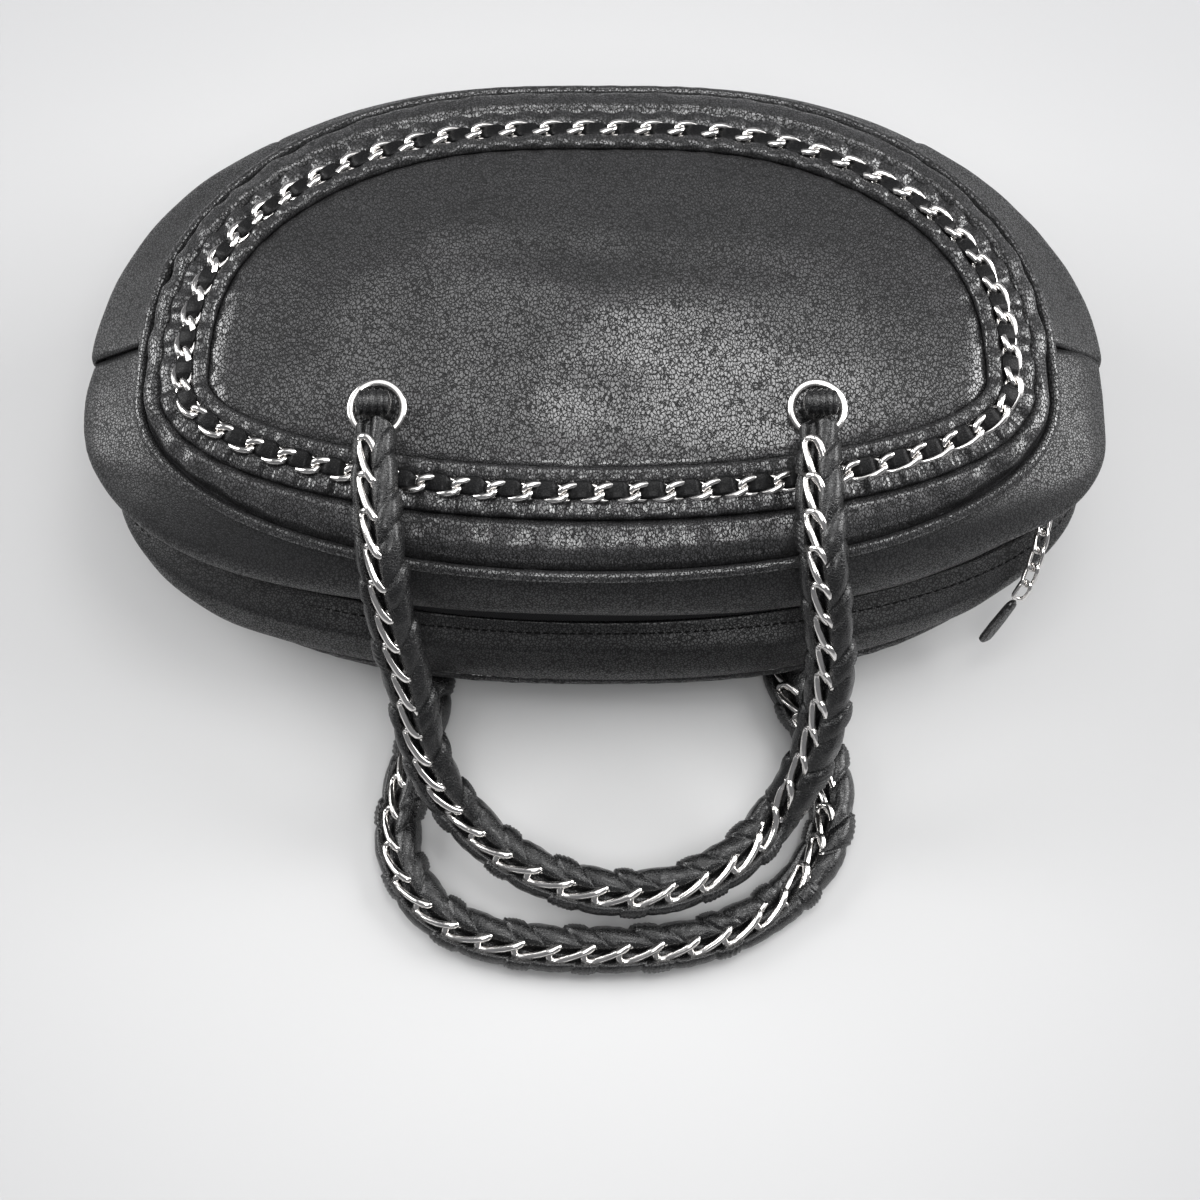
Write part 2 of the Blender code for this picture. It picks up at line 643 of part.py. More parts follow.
def edge_of(us):
    """Distance of a lining's edge from the zip line at any angle."""
    turned = np.mod(us, 2 * math.pi)
    over = (turned > math.pi + SLOT_SHUT) & (turned < 2 * math.pi - SLOT_SHUT)
    edge = slot_half(np.where(over, turned, 1.5 * math.pi)) + TAPE_UNDER + GAP
    return np.where(over, edge, GAP)


# Eyelets, anchors and handles


def eyelet_spot(side, station):
    """Centre and outward direction of one eyelet."""
    u, v = skin_spot(side * EYELET_PITCH / 2, EYELET_Y, station)
    return skin(u, v), directions(np.array([u]), np.array([v]))[1][0]


def make_eyelet(name, centre, out, walls):
    """One two-flanged eyelet, and its hole through the walls it clamps."""
    inner, barrel = EYELET_HOLE / 2, EYELET_HOLE / 2 + EYELET_BARREL_WALL
    outer = EYELET_OUTER / 2
    rim = EYELET_SEAT + EYELET_RIM
    back = EYELET_STACK + EYELET_RIM / 2
    bead = EYELET_RIM * EYELET_BEAD_SHARE
    profile = [(inner, rim - bead), (inner + bead, rim), (outer - bead, rim), (outer, rim - bead),
               (outer, EYELET_SEAT), (barrel, EYELET_SEAT), (barrel, -EYELET_STACK),
               (outer, -EYELET_STACK), (outer, -back), (inner, -back)]
    frame = placed(centre, out)
    ring_turned(name, profile, frame, material(*METAL_LOOK))
    hole = barrel + 2 * GAP
    cutter = stack(name + "_hole", [(hole, -back), (hole, rim)], frame, material(*METAL_LOOK), sides=12)
    for wall in walls:
        cut_with(wall, cutter)


def make_anchor(name, centre, out):
    """The handle's fixed end: a knuckle, its stem through the eyelet and the stop inside."""
    look = material(*LEATHER_LOOK)
    pivot = pivot_of(centre, out)
    lift = float(np.dot(pivot - centre, out))
    stem = EYELET_HOLE / 2 - ANCHOR_SLACK
    below = EYELET_STACK + EYELET_RIM / 2 + GAP
    body = stack(name, [(stem, lift - HANDLE_HALF * KNUCKLE_SINK_SHARE), (stem, -below),
                        (EYELET_OUTER / 2, -below), (EYELET_OUTER / 2, -below - ANCHOR_STOP)],
                 placed(centre, out), look, sides=10)
    half = EYELET_HOLE / 2 - GAP
    knuckle = stack(name + "_knuckle", [(HANDLE_HALF, -half), (HANDLE_HALF, half)],
                    placed(pivot, (1, 0, 0), (0, 0, 1)), look, sides=10)
    join_with(body, knuckle)
    return pivot


def pivot_of(centre, out):
    """Point that a handle's end turns about, just clear of the eyelet's rim."""
    return centre + out * (EYELET_SEAT + EYELET_RIM + PIVOT_CLEAR + HANDLE_HALF)


def drape(start, rim, landing_y, level):
    """Taut line in y and z from the pivot, over the rim and the bag's edge, to a level."""
    x = EYELET_PITCH / 2 * DRAPE_SHARE
    stations = np.linspace(LACING - 0.5, ZIP + 2, 90)
    half, power = outline_at(stations)[:, 0], outline_at(stations)[:, 7]
    u = 1.5 * math.pi + np.arcsin(np.minimum(x / half, 1.0)**(power / 2))
    out = directions(u, stations)[1]
    chain_rise = 2 * link_height(CHAIN_WIRE) + GAP - GROOVE_DEPTH
    clear = HANDLE_HALF + chain_rise + GAP
    line = (skin(u, stations) + out * clear)[:, 1:]
    points = [tuple(start), tuple(rim)] + [tuple(p) for p in line] + [(landing_y, level)]
    points.sort(key=lambda p: -p[0])
    hull = []
    for p in points:
        while len(hull) > 1 and turn(hull[-2], hull[-1], p) <= 0:
            hull.pop()
        hull.append(p)
    return np.array(hull)


def turn(a, b, c):
    """Positive where the line a, b, c bends down, seen with y falling."""
    return (b[1] - a[1]) * (a[0] - c[0]) - (c[1] - a[1]) * (a[0] - b[0])


def unrolled(profile, along):
    """Points of y and z at distances along a profile, straight on past its end."""
    steps = np.linalg.norm(np.diff(profile, axis=0), axis=1)
    length = np.concatenate([[0.0], np.cumsum(steps)])
    past = np.maximum(along - length[-1], 0.0)
    y = np.interp(along, length, profile[:, 0]) - past
    return y, np.interp(along, length, profile[:, 1])


def handle_line(shares, drop, profile):
    """Dense centre line of a handle, its flat route laid over the profile."""
    knots = np.array([(x * EYELET_PITCH / 2, w * drop, 0.0) for x, w in shares])
    flat = smooth_line(knots)
    y, z = unrolled(profile, np.maximum(flat[:, 1], 0.0))
    line = np.stack([flat[:, 0], y, z], -1)
    kernel = np.ones(HANDLE_SOFTENING) / HANDLE_SOFTENING
    held = HANDLE_SOFTENING // 2
    padded = np.concatenate([np.repeat(line[:1], held, 0), line, np.repeat(line[-1:], held, 0)])
    line = np.stack([np.convolve(padded[:, k], kernel, "valid") for k in range(3)], -1)
    from_start = np.linalg.norm(line - line[0], axis=1)
    from_end = np.linalg.norm(line - line[-1], axis=1)
    clear = HANDLE_HALF + GAP
    kept = line[(from_start > clear) & (from_end > clear)]
    first = line[0] + unit(kept[0] - line[0]) * clear
    last = line[-1] + unit(kept[-1] - line[-1]) * clear
    return np.concatenate([[first], kept[1:-1], [last]])


def handle_section():
    """Section of a handle: two lobes beside a channel for the chain, flat below."""
    half = HANDLE_WIDTH / 2
    floor = HANDLE_HALF - 2 * link_height(CHAIN_WIRE) - GAP + HANDLE_CHAIN_PROUD
    channel = CHAIN_WIDTH / 2 + CHAIN_CLEAR
    right = [(channel, floor)] + [(x * half, z * HANDLE_HALF) for x, z in SECTION_SHARES]
    right[1] = (max(right[1][0], channel + GAP), right[1][1])
    left = [(-x, z) for x, z in reversed(right)]
    return np.array(right + left), floor


def make_handle(name, line, pivot):
    """A handle's leather, and the chain that lies in its channel, turning about the pivot."""
    points = even_points(line, HANDLE_RINGS)[0]
    ahead = unit(np.gradient(points, axis=0))
    ahead[0], ahead[-1] = unit(ahead[0] * [0, 1, 1]), unit(ahead[-1] * [0, 1, 1])
    side = unit(np.cross(ahead, [0.0, 0.0, 1.0]))
    up = np.cross(side, ahead)
    section, floor = handle_section()
    rings = (points[:, None] + section[None, :, :1] * side[:, None]
             + section[None, :, 1:] * up[:, None])
    loft(name + "_leather", rings, material(*LEATHER_LOOK), pivot=pivot)
    height = link_height(CHAIN_WIRE)
    chain_line = points + up * (floor + CHAIN_CLEAR + height)
    chain(name + "_chain", chain_line, up, CHAIN_PITCH, CHAIN_WIDTH, CHAIN_WIRE,
          material(*METAL_LOOK), pivot=pivot)


def make_handles(front_walls, back_walls):
    pivots, rims = {}, {}
    for side, word in ((-1, "left"), (1, "right")):
        for face, station, walls in (("front", FRONT_EYELET_STATION, front_walls),
                                     ("back", BACK_EYELET_STATION, back_walls)):
            centre, out = eyelet_spot(side, station)
            make_eyelet(f"{face}_{word}_eyelet", centre, out, walls)
            pivot = make_anchor(f"{face}_{word}_handle_anchor", centre, out)
            pivots[face, word] = pivot
            towards_edge = unit(np.cross([side, 0, 0], out)) * side
            rims[face, word] = pivot + towards_edge * EYELET_OUTER / 2 + out * GAP
    front, back = pivots["front", "right"], pivots["back", "right"]
    level = 3 * HANDLE_HALF + HANDLE_CHAIN_PROUD + 2 * GAP
    landing = front[1] - FRONT_HANDLE_DROP * LANDING_REACH_SHARE
    over = drape(front[1:], rims["front", "right"][1:], landing, level)
    make_handle("front_handle", handle_line(FRONT_ROUTE_SHARES, FRONT_HANDLE_DROP, over),
                (0.0, front[1], front[2]))
    flat = np.array([back[1:], [back[1] - HANDLE_WIDTH, back[2]],
                     [back[1] - 3 * HANDLE_WIDTH, HANDLE_HALF],
                     [back[1] - BACK_HANDLE_DROP / 2, HANDLE_HALF]])
    make_handle("back_handle", handle_line(BACK_ROUTE_SHARES, BACK_HANDLE_DROP, flat),
                (0.0, back[1], back[2]))


# Zip


def zip_frame(angle):
    """Point of the zip's line and its directions: back along it, outwards and up."""
    out = np.array([math.sin(angle), -math.cos(angle), 0.0])
    back = np.array([-math.cos(angle), -math.sin(angle), 0.0])
    return ZIP_CENTRE + out * ZIP_RADIUS, back, out, np.array([0.0, 0.0, 1.0])


def zip_run(name, section, start, end, steps, look, pivot=(0.0, 0.0, 0.0)):
    """A section of outward and upward pairs carried along the zip's arc."""
    rings = []
    for angle in np.linspace(start, end, steps):
        point, _, out, up = zip_frame(angle)
        rings.append([point + out * r + up * z for r, z in section])
    return loft(name, np.array(rings), look, pivot=pivot)


def make_tape(name, sign, start):
    """The tape from beside the teeth to under the gusset's edge, where it is sewn."""
    us = RING_US[(RING_US > math.pi + SLOT_OPEN / 2) & (RING_US < 2 * math.pi - SLOT_OPEN / 2)]
    rows = [(ZIP, sign * start), (ZIP, sign * ZIP_SLOT / 2), (ZIP, sign * (ZIP_SLOT / 2 + TAPE_UNDER))]
    loft(name, wall_rings(us, rows, TAPE_THICKNESS, -LEATHER - 2 * GAP), material(*TAPE_LOOK))


def make_zip():
    metal = material(*METAL_LOOK)
    split, teeth = TEETH_SPLIT / 2, TEETH_SPLIT / 2 + TEETH_WIDTH
    teeth_top, teeth_under = -TEETH_SINK, -TEETH_SINK - TEETH_THICKNESS
    for name, sign in (("front", 1), ("back", -1)):
        row = [(teeth_top, sign * split), (teeth_top, sign * teeth), (teeth_under, sign * teeth),
               (teeth_under, sign * split)]
        zip_run(name + "_zip_teeth", row, -ZIP_ANGLE, ZIP_ANGLE, ZIP_STEPS, metal)
        make_tape(name + "_zip_tape", -sign, teeth)
    neck, plate, half = split - GAP, SLIDER_PLATE, teeth + GAP
    top, under = teeth_top + GAP, teeth_under - GAP
    bail = top + 2 * plate
    right = [(bail, plate / 2), (top + plate, plate / 2), (top + plate, half), (top, half), (top, neck),
             (under, neck), (under, half), (under - plate, half)]
    section = right + [(r, -z) for r, z in reversed(right)]
    rest = ZIP_ANGLE - SLIDER_LENGTH / ZIP_RADIUS
    reach = SLIDER_LENGTH / 2 / ZIP_RADIUS
    zip_run("zip_slider", section, rest - reach, rest + reach, 3, metal, tuple(ZIP_CENTRE))
    make_pull(rest, bail)


def make_pull(rest, bail):
    """The chain and the leather-backed tab that hang from the slider."""
    metal = material(*METAL_LOOK)
    point, back, out, up = zip_frame(rest)
    axes = np.stack([back, out, up])
    pivot = tuple(point + out * (bail - PULL_WIRE / 2))
    start = point + out * (bail + 2 * GAP)
    line = smooth_line(np.array(PULL_ROUTE_SHARES) * PULL_REACH) @ axes + start
    across = unit(np.cross(unit(line[-1] - line[0]), up))
    lifted = unit(np.cross(across, unit(line[-1] - line[0])))
    chain("zip_pull_chain", line, lifted, PULL_PITCH, PULL_WIDTH, PULL_WIRE, metal, pivot=pivot)
    ahead = unit(np.array(PULL_TAB_DIRECTION)) @ axes
    side = unit(np.cross(ahead, out))
    face = np.cross(side, ahead)
    first = line[-1] + ahead * 2 * GAP
    rings = []
    for along, width in PULL_TAB_OUTLINE_SHARES:
        centre = first + ahead * along * PULL_TAB_LENGTH
        half = width * PULL_TAB_WIDTH / 2
        rings.append([centre + side * a * half + face * b * PULL_TAB_THICKNESS / 2
                      for a, b in ((-1, -1), (1, -1), (1, 1), (-1, 1))])
    loft("zip_pull_tab", np.array(rings), material(*LEATHER_LOOK), pivot=pivot)


def make_end_tabs():
    look = material(*LEATHER_LOOK)
    turn_by = END_TAB_LENGTH / OUTLINES[int(ZIP), 0]
    us = 2 * math.pi + np.linspace(0.0, turn_by, 4) - turn_by * END_TAB_INBOARD_SHARE
    rows = [(ZIP, -ZIP_SLOT / 2), (ZIP, 0.0), (ZIP, ZIP_SLOT / 2)]
    lift = EYELET_SEAT + END_TAB_THICKNESS
    rings = wall_rings(us, rows, END_TAB_THICKNESS, lift)
    loft("right_zip_end_tab", rings, look)
    loft("left_zip_end_tab", rings * [-1, 1, 1], look)


# Base


def make_pocket():
    """The slip pocket that lies on the back lining."""
    centre, top = OUTLINES[int(BACK_END) - 1, 3], OUTLINES[int(BACK_END) - 1, 1]
    low = LINING_SETBACK + LINING + GAP
    half, rise = POCKET_WIDTH / 2, top * POCKET_RISE_SHARE
    rings = []
    for z in (low, low + LINING):
        rings.append([(-half, centre - rise, z), (half, centre - rise, z), (half, centre + rise, z),
                      (half - rise, centre + 2 * rise, z), (rise - half, centre + 2 * rise, z),
                      (-half, centre + rise, z)])
    loft("inner_pocket", np.array(rings), material(*CLOTH_LOOK), smooth=False)


def make_base(base_panel, linings):
    """The stiffening board inside the base and the four feet riveted through it."""
    us = RING_US[(RING_US > BASE_CORNER + STEP / 2) & (RING_US < math.pi - BASE_CORNER - STEP / 2)]
    rows = [(BOARD_STATIONS[0], 0.0), (ZIP, 0.0), (BOARD_STATIONS[1], 0.0)]
    lift = -(LINING_SETBACK + LINING + EYELET_SEAT)
    board = loft("base_board", wall_rings(us, rows, BOARD_THICKNESS, lift), material(*BOARD_LOOK))
    through = -lift + BOARD_THICKNESS + EYELET_SEAT
    metal = material(*METAL_LOOK)
    head, stem = FOOT_DIAMETER / 2, FOOT_STEM / 2
    number = 0
    for v, lining in ((FOOT_STATIONS[0], linings[0]), (FOOT_STATIONS[1], linings[1])):
        for u in (FOOT_ANGLE, math.pi - FOOT_ANGLE):
            number += 1
            corners = skin(u + STEP / 2 * np.array([-1, 1, 1, -1]), v + np.array([-1, -1, 1, 1]))
            out = unit(np.cross(corners[2] - corners[0], corners[3] - corners[1]))
            out = out * math.copysign(1.0, out[1])
            frame = placed(corners.mean(axis=0), out)
            profile = [(head * FOOT_TIP_SHARE, FOOT_HEIGHT), (head, FOOT_HEIGHT / 2), (head, EYELET_SEAT),
                       (stem, EYELET_SEAT), (stem, -through), (head, -through),
                       (head, -through - FOOT_WASHER)]
            stack(f"base_foot_{number}", profile, frame, metal, sides=8)
            hole = stack(f"base_foot_{number}_hole", [(stem + GAP, -through), (stem + GAP, EYELET_SEAT)],
                         frame, metal, sides=8)
            for wall in (base_panel, lining, board):
                cut_with(wall, hole)


def set_origin():
    """Move everything so that the origin is the middle of the flat that the bag lies on."""
    middle = OUTLINES[int(BACK_END), 3]
    for made in bpy.data.objects:
        made.location.y -= middle


def main():
    for old in list(bpy.data.objects):
        bpy.data.objects.remove(old, do_unlink=True)
    front_panel = make_front_panel()
    make_front_trim()
    make_pipings()
    base_panel = make_gussets()
    back_panel = make_back_panel()
    linings = make_linings()
    make_handles((front_panel, linings[0]), (back_panel, linings[1]))
    make_zip()
    make_end_tabs()
    make_pocket()
    make_base(base_panel, linings)
    set_origin()


main()
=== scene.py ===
# %% [markdown]
# # A soft bowler bag trimmed with laced chain
#
# The bag lies on its back panel. Its front panel faces up, its zipped edge
# faces the camera, and both handles flop over that edge. The solid model is
# already in place as a frame of rigid pieces. This lesson dresses it: every
# leather wall becomes a sagging surface with folds and grain, every chain
# becomes real links, and the zip gets its teeth.

# %% The frame
import json
import math

import bmesh
import bpy
import numpy as np
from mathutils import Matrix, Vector


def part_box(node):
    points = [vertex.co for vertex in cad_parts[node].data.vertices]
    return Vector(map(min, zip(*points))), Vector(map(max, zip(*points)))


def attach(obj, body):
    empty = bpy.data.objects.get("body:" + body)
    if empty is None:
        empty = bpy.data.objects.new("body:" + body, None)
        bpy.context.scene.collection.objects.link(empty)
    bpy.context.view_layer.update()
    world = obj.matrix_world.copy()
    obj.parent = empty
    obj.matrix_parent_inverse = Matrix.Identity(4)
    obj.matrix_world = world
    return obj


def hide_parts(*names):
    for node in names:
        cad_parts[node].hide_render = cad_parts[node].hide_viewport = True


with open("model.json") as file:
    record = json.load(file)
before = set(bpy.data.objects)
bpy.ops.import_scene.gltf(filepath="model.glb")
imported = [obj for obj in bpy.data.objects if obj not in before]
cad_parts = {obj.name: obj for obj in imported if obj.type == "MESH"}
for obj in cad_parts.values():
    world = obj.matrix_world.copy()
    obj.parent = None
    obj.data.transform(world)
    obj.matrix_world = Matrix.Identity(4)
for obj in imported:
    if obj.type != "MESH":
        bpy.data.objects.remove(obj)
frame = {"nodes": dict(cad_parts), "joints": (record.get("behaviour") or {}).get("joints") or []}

TAU = 2 * math.pi
MM = 0.001
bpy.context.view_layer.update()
joints = {joint["name"]: joint for joint in frame["joints"]}

# %% [markdown]
# ## The camera
#
# The photograph looks steeply down on the bag from the side of the zip. A
# camera could be placed by eye, but here its distance follows from the lens
# and from how large a millimetre shows, so it stays true if either changes.

# %% Camera at the photograph's angle
PHOTO_SIZE = 1200
TARGET = np.array([1.0, -115.2, 60.0]) * MM
ELEVATION = math.radians(68)
LENS = 85
SENSOR = 36
PIXELS_PER_METRE = 2620

camera = bpy.data.cameras.new("camera")
camera.lens, camera.sensor_width = LENS, SENSOR
camera_object = bpy.data.objects.new("camera", camera)
bpy.context.collection.objects.link(camera_object)
camera_back = np.array([0.0, -math.cos(ELEVATION), math.sin(ELEVATION)])
camera_distance = LENS / SENSOR * PHOTO_SIZE / PIXELS_PER_METRE
camera_object.location = TARGET + camera_back * camera_distance
camera_object.rotation_mode = "QUATERNION"
camera_object.rotation_quaternion = Vector(-camera_back).to_track_quat("-Z", "Y")
bpy.context.scene.camera = camera_object
print("camera distance", round(camera_distance, 3), "m")

# %% [markdown]
# ## Shader maths as Python expressions
#
# A procedural finish is arithmetic on patterns. Wrapping a node's socket in a
# small class lets `1 - mask * 0.5` add its own Math nodes, so a finish reads
# like a formula. Every other kind of node comes from one method.


# %% A socket that can be added, multiplied and compared
class Field:
    """A shader socket that takes part in Python arithmetic by adding Math nodes."""

    def __init__(self, tree, socket):
        self.tree = tree
        self.socket = socket

    def node(self, kind, settings=None, output=0, **values):
        """Add a node, set it up, and link or fill its inputs by name or by number."""
        made = self.tree.nodes.new(kind)
        for key, value in (settings or {}).items():
            setattr(made, key, value)
        for key, value in values.items():
            numbered = key[1:].isdigit()
            entry = made.inputs[int(key[1:]) if numbered else key.replace("_", " ")]
            if isinstance(value, Field):
                self.tree.links.new(value.socket, entry)
            else:
                entry.default_value = value
        return Field(self.tree, made.outputs[output])

    def math(self, operation, *operands):
        """A Math node on this value and the others."""
        values = {f"i{k}": value for k, value in enumerate(operands)}
        return self.node("ShaderNodeMath", {"operation": operation}, **values)

    def __add__(self, other):
        return self.math("ADD", self, other)

    __radd__ = __add__

    def __sub__(self, other):
        return self.math("SUBTRACT", self, other)

    def __rsub__(self, other):
        return self.math("SUBTRACT", other, self)

    def __mul__(self, other):
        return self.math("MULTIPLY", self, other)

    __rmul__ = __mul__

    def limited(self, low, high):
        """This value mapped from low..high to 0..1, eased and held at both ends."""
        return self.node("ShaderNodeMapRange", {"interpolation_type": "SMOOTHSTEP"},
                         Value=self, From_Min=low, From_Max=high)

    def mixed(self, first, second):
        """Colour between the two by this factor."""
        return self.node("ShaderNodeMix", {"data_type": "RGBA"}, output=2, i0=self, i6=first, i7=second)

    def scaled(self, sizes):
        """This vector times three sizes."""
        return self.node("ShaderNodeVectorMath", {"operation": "MULTIPLY"}, i0=self, i1=sizes)

    def moved(self, other):
        """This vector plus another."""
        return self.node("ShaderNodeVectorMath", {"operation": "ADD"}, i0=self, i1=other)

    def noise(self, scale, detail=2.0, roughness=0.5, output=0):
        """Soft noise read at this vector; output 1 is its colour."""
        return self.node("ShaderNodeTexNoise", output=output, Vector=self, Scale=scale, Detail=detail,
                         Roughness=roughness)

    def cells(self, scale):
        """Distance to the nearest edge of random cells read at this vector."""
        return self.node("ShaderNodeTexVoronoi", {"feature": "DISTANCE_TO_EDGE"}, Vector=self, Scale=scale,
                         Randomness=1.0)


def finish(name, **constants):
    """A new Principled material with constant values on its own sockets, and its parts."""
    made = bpy.data.materials.new(name)
    made.use_nodes = True
    tree = made.node_tree
    shader = tree.nodes["Principled BSDF"]
    for key, value in constants.items():
        shader.inputs[key.replace("_", " ")].default_value = value
    start = tree.nodes.new("ShaderNodeTexCoord")
    place = Field(tree, start.outputs["Object"])
    flat = Field(tree, start.outputs["UV"])
    return made, shader, place, flat


def drive(shader, **fields):
    """Link changing values to the shader's sockets."""
    for key, field in fields.items():
        field.tree.links.new(field.socket, shader.inputs[key.replace("_", " ")])


def bumped(height, strength, distance, below=None):
    """Normal of a height pattern, over another bump if one is given."""
    extra = {"Normal": below} if below else {}
    return height.node("ShaderNodeBump", Strength=strength, Distance=distance, Height=height, **extra)


# %% [markdown]
# ## Pebbled leather
#
# The bag's hide is milled: small uneven pebbles with dark creases between
# them, drawn out where the hide is stretched. Cells from a Voronoi pattern,
# bent by noise, give the pebbles. A clear coat lies on the pebbles' tops only,
# as polish does, so they mirror the light and the creases stay dark.

# %% Leather finishes


def pebbled(name, grain, stretch, dark, light, gloss, depth, polish, wrinkle=0.0):
    """Milled leather: grain in metres per pebble, stretch of the pebbles along x, y and z.

    wrinkle is the strength of fine folds across the piece, which its UV map carries in metres.
    """
    made, shader, place, flat = finish(name, IOR=1.48, Specular_IOR_Level=0.4, Coat_Roughness=gloss,
                                       Coat_IOR=1.9)
    bend = place.noise(0.22 / grain, 3.0, output=1)
    bent = place.moved(bend.scaled((grain * 2.2,) * 3)).scaled(stretch)
    crease = bent.cells(1 / grain).limited(0.0, 0.24)
    small = bent.cells(1.9 / grain).limited(0.0, 0.28)
    pore = bent.noise(3.2 / grain, 2.0, 0.6)
    cloud = place.noise(34.0, 4.0, 0.6)
    vein = place.noise(150.0, 5.0, 0.65)
    worn = vein.limited(0.52, 0.70)
    pebble = crease * 0.68 + small * 0.32
    tone = (pebble * 0.80 + cloud * 0.20).limited(0.25, 0.92)
    height = pebble * (0.7 + cloud * 0.5) + pore * 0.25
    coated = pebble * (0.55 + cloud * 0.9) + (pore - 0.5) * 0.5
    if wrinkle:
        across = flat.scaled((560.0, 85.0, 1.0)).noise(1.0, 2.0, 0.6) - 0.5
        fold = across * vein.limited(0.40, 0.60) * wrinkle
        height = height + fold * 3.0
        coated = coated + fold * 1.6
    drive(shader, Base_Color=tone.mixed(dark, light),
          Roughness=0.34 + (1 - pebble) * 0.40 + (pore - 0.5) * 0.16 - worn * 0.05,
          Coat_Weight=coated.limited(0.18, 1.0) * polish,
          Normal=bumped(height, 1.0, depth, bumped(vein, 0.5, depth * 1.4)))
    return made


HIDE_DARK, HIDE_LIGHT = (0.003, 0.003, 0.0033, 1), (0.024, 0.0235, 0.025, 1)
SIDE_LIGHT = (0.010, 0.010, 0.011, 1)
hide = pebbled("pebbled_hide", grain=1.25 * MM, stretch=(1.12, 0.74, 1.0), dark=HIDE_DARK, light=HIDE_LIGHT,
               gloss=0.24, depth=0.42 * MM, polish=1.0)
band_hide = pebbled("puffed_hide", grain=1.25 * MM, stretch=(1.25, 0.75, 0.8), dark=HIDE_DARK,
                    light=HIDE_LIGHT, gloss=0.26, depth=0.36 * MM, polish=1.0, wrinkle=1.0)
gusset_hide = pebbled("gusset_hide", grain=1.2 * MM, stretch=(1.0, 1.0, 1.0), dark=HIDE_DARK,
                      light=SIDE_LIGHT, gloss=0.34, depth=0.13 * MM, polish=0.42)
print("leather finishes:", hide.name, band_hide.name, gusset_hide.name)


# %% Smooth leather of the wound handles
WOUND_LIGHT = (0.010, 0.010, 0.0105, 1)


def wound_hide(name, shine, gloss):
    """Thin glossy leather with fine creases along its stretch; its UV runs along the handle."""
    made, shader, place, flat = finish(name, IOR=1.5, Specular_IOR_Level=shine * 0.8,
                                       Coat_Weight=shine * 0.5, Coat_Roughness=0.20)
    slanted = flat.node("ShaderNodeMapping", Vector=flat, Rotation=(0, 0, math.radians(-38)))
    pleat = slanted.scaled((1500.0, 240.0, 1.0)).noise(1.0, 3.0, 0.6)
    pleat_mask = place.noise(110.0, 2.0).limited(0.40, 0.62)
    pore = place.cells(900.0).limited(0.0, 0.22)
    cloud = place.noise(60.0, 4.0)
    rubbed = (pleat * pleat_mask).limited(0.30, 0.70)
    height = pleat * pleat_mask * 0.8 + pore * 0.34
    tone = (cloud * 0.5 + rubbed * 0.3 + pore * 0.3).limited(0.2, 0.95)
    drive(shader, Base_Color=tone.mixed(HIDE_DARK, WOUND_LIGHT),
          Roughness=gloss + cloud * 0.10 + (1 - pore) * 0.20 - rubbed * 0.05,
          Normal=bumped(height, 1.0, 0.26 * MM))
    return made


handle_hide = wound_hide("wound_hide", shine=0.6, gloss=0.20)
lace_hide = wound_hide("lace_hide", shine=0.16, gloss=0.40)


# %% [markdown]
# ## Bright nickel
#
# Links, eyelets and zip are plated and polished, with hairline scratches from
# use. A mirror of one flat roughness looks like plastic chrome, so stretched
# noise breaks the gloss, and the plating is a little warm.

# %% Metal, cloth and board finishes


def nickel(name, gloss, tint):
    """Plated metal whose roughness grows with hairline scratches and smears."""
    made, shader, place, _ = finish(name, Metallic=1.0)
    hair = place.scaled((1.0, 9.0, 4.0)).noise(900.0, 3.0, 0.7)
    smear = place.noise(140.0, 3.0)
    shade = smear.limited(0.3, 0.8)
    drive(shader, Base_Color=shade.mixed(tuple(c * 0.86 for c in tint) + (1,), tint + (1,)),
          Roughness=gloss + hair * 0.07 + smear * 0.06, Normal=bumped(hair, 0.10, 0.03 * MM))
    return made


link_metal = nickel("bright_nickel", gloss=0.10, tint=(0.86, 0.84, 0.82))
zip_metal = nickel("zip_nickel", gloss=0.20, tint=(0.62, 0.60, 0.58))


def woven(name, dark, light, thread):
    """Plain woven cloth with threads of the given width."""
    made, shader, place, _ = finish(name, Roughness=0.86, Sheen_Weight=0.2, Sheen_Roughness=0.5)
    rate = TAU / thread / 2
    warp = place.node("ShaderNodeSeparateXYZ", Vector=place)
    weft = place.node("ShaderNodeSeparateXYZ", output=1, Vector=place)
    over = warp.math("SINE", warp * rate)
    under = weft.math("SINE", weft * rate)
    cloth = (over * under).limited(-0.8, 0.8)
    drive(shader, Base_Color=cloth.mixed(dark, light), Normal=bumped(cloth, 0.6, 0.15 * MM))
    return made


lining_cloth = woven("lining_cloth", dark=(0.008, 0.008, 0.009, 1), light=(0.026, 0.025, 0.028, 1),
                     thread=0.7 * MM)
tape_cloth = woven("zip_tape_cloth", dark=(0.006, 0.006, 0.007, 1), light=(0.022, 0.022, 0.024, 1),
                   thread=0.5 * MM)


def stiff_board(name):
    """Grey board with long fibres."""
    made, shader, place, _ = finish(name)
    fibre = place.scaled((1.0, 6.0, 6.0)).noise(220.0, 4.0)
    drive(shader, Base_Color=fibre.mixed((0.06, 0.055, 0.05, 1), (0.12, 0.11, 0.10, 1)),
          Roughness=0.7 + fibre * 0.2, Normal=bumped(fibre, 0.3, 0.1 * MM))
    return made


board_fibre = stiff_board("board_fibre")


# %% [markdown]
# ## Meshes from whole arrays
#
# Each new piece is a grid of points worked out with numpy. One builder turns
# a stack of grids into quads, so a chain of forty links is a single call. A
# second closes a wall between its outer and its inner face.

# %% From arrays of points to pieces


def unit(vectors):
    """The same vectors with length one."""
    return vectors / np.maximum(np.linalg.norm(vectors, axis=-1, keepdims=True), 1e-12)


def circle(sides):
    """Angles of equal steps round a circle."""
    return np.arange(sides) * TAU / sides


def ring(first, second, sides):
    """Unit circle between two axes."""
    g = circle(sides)[:, None]
    return np.cos(g) * first + np.sin(g) * second


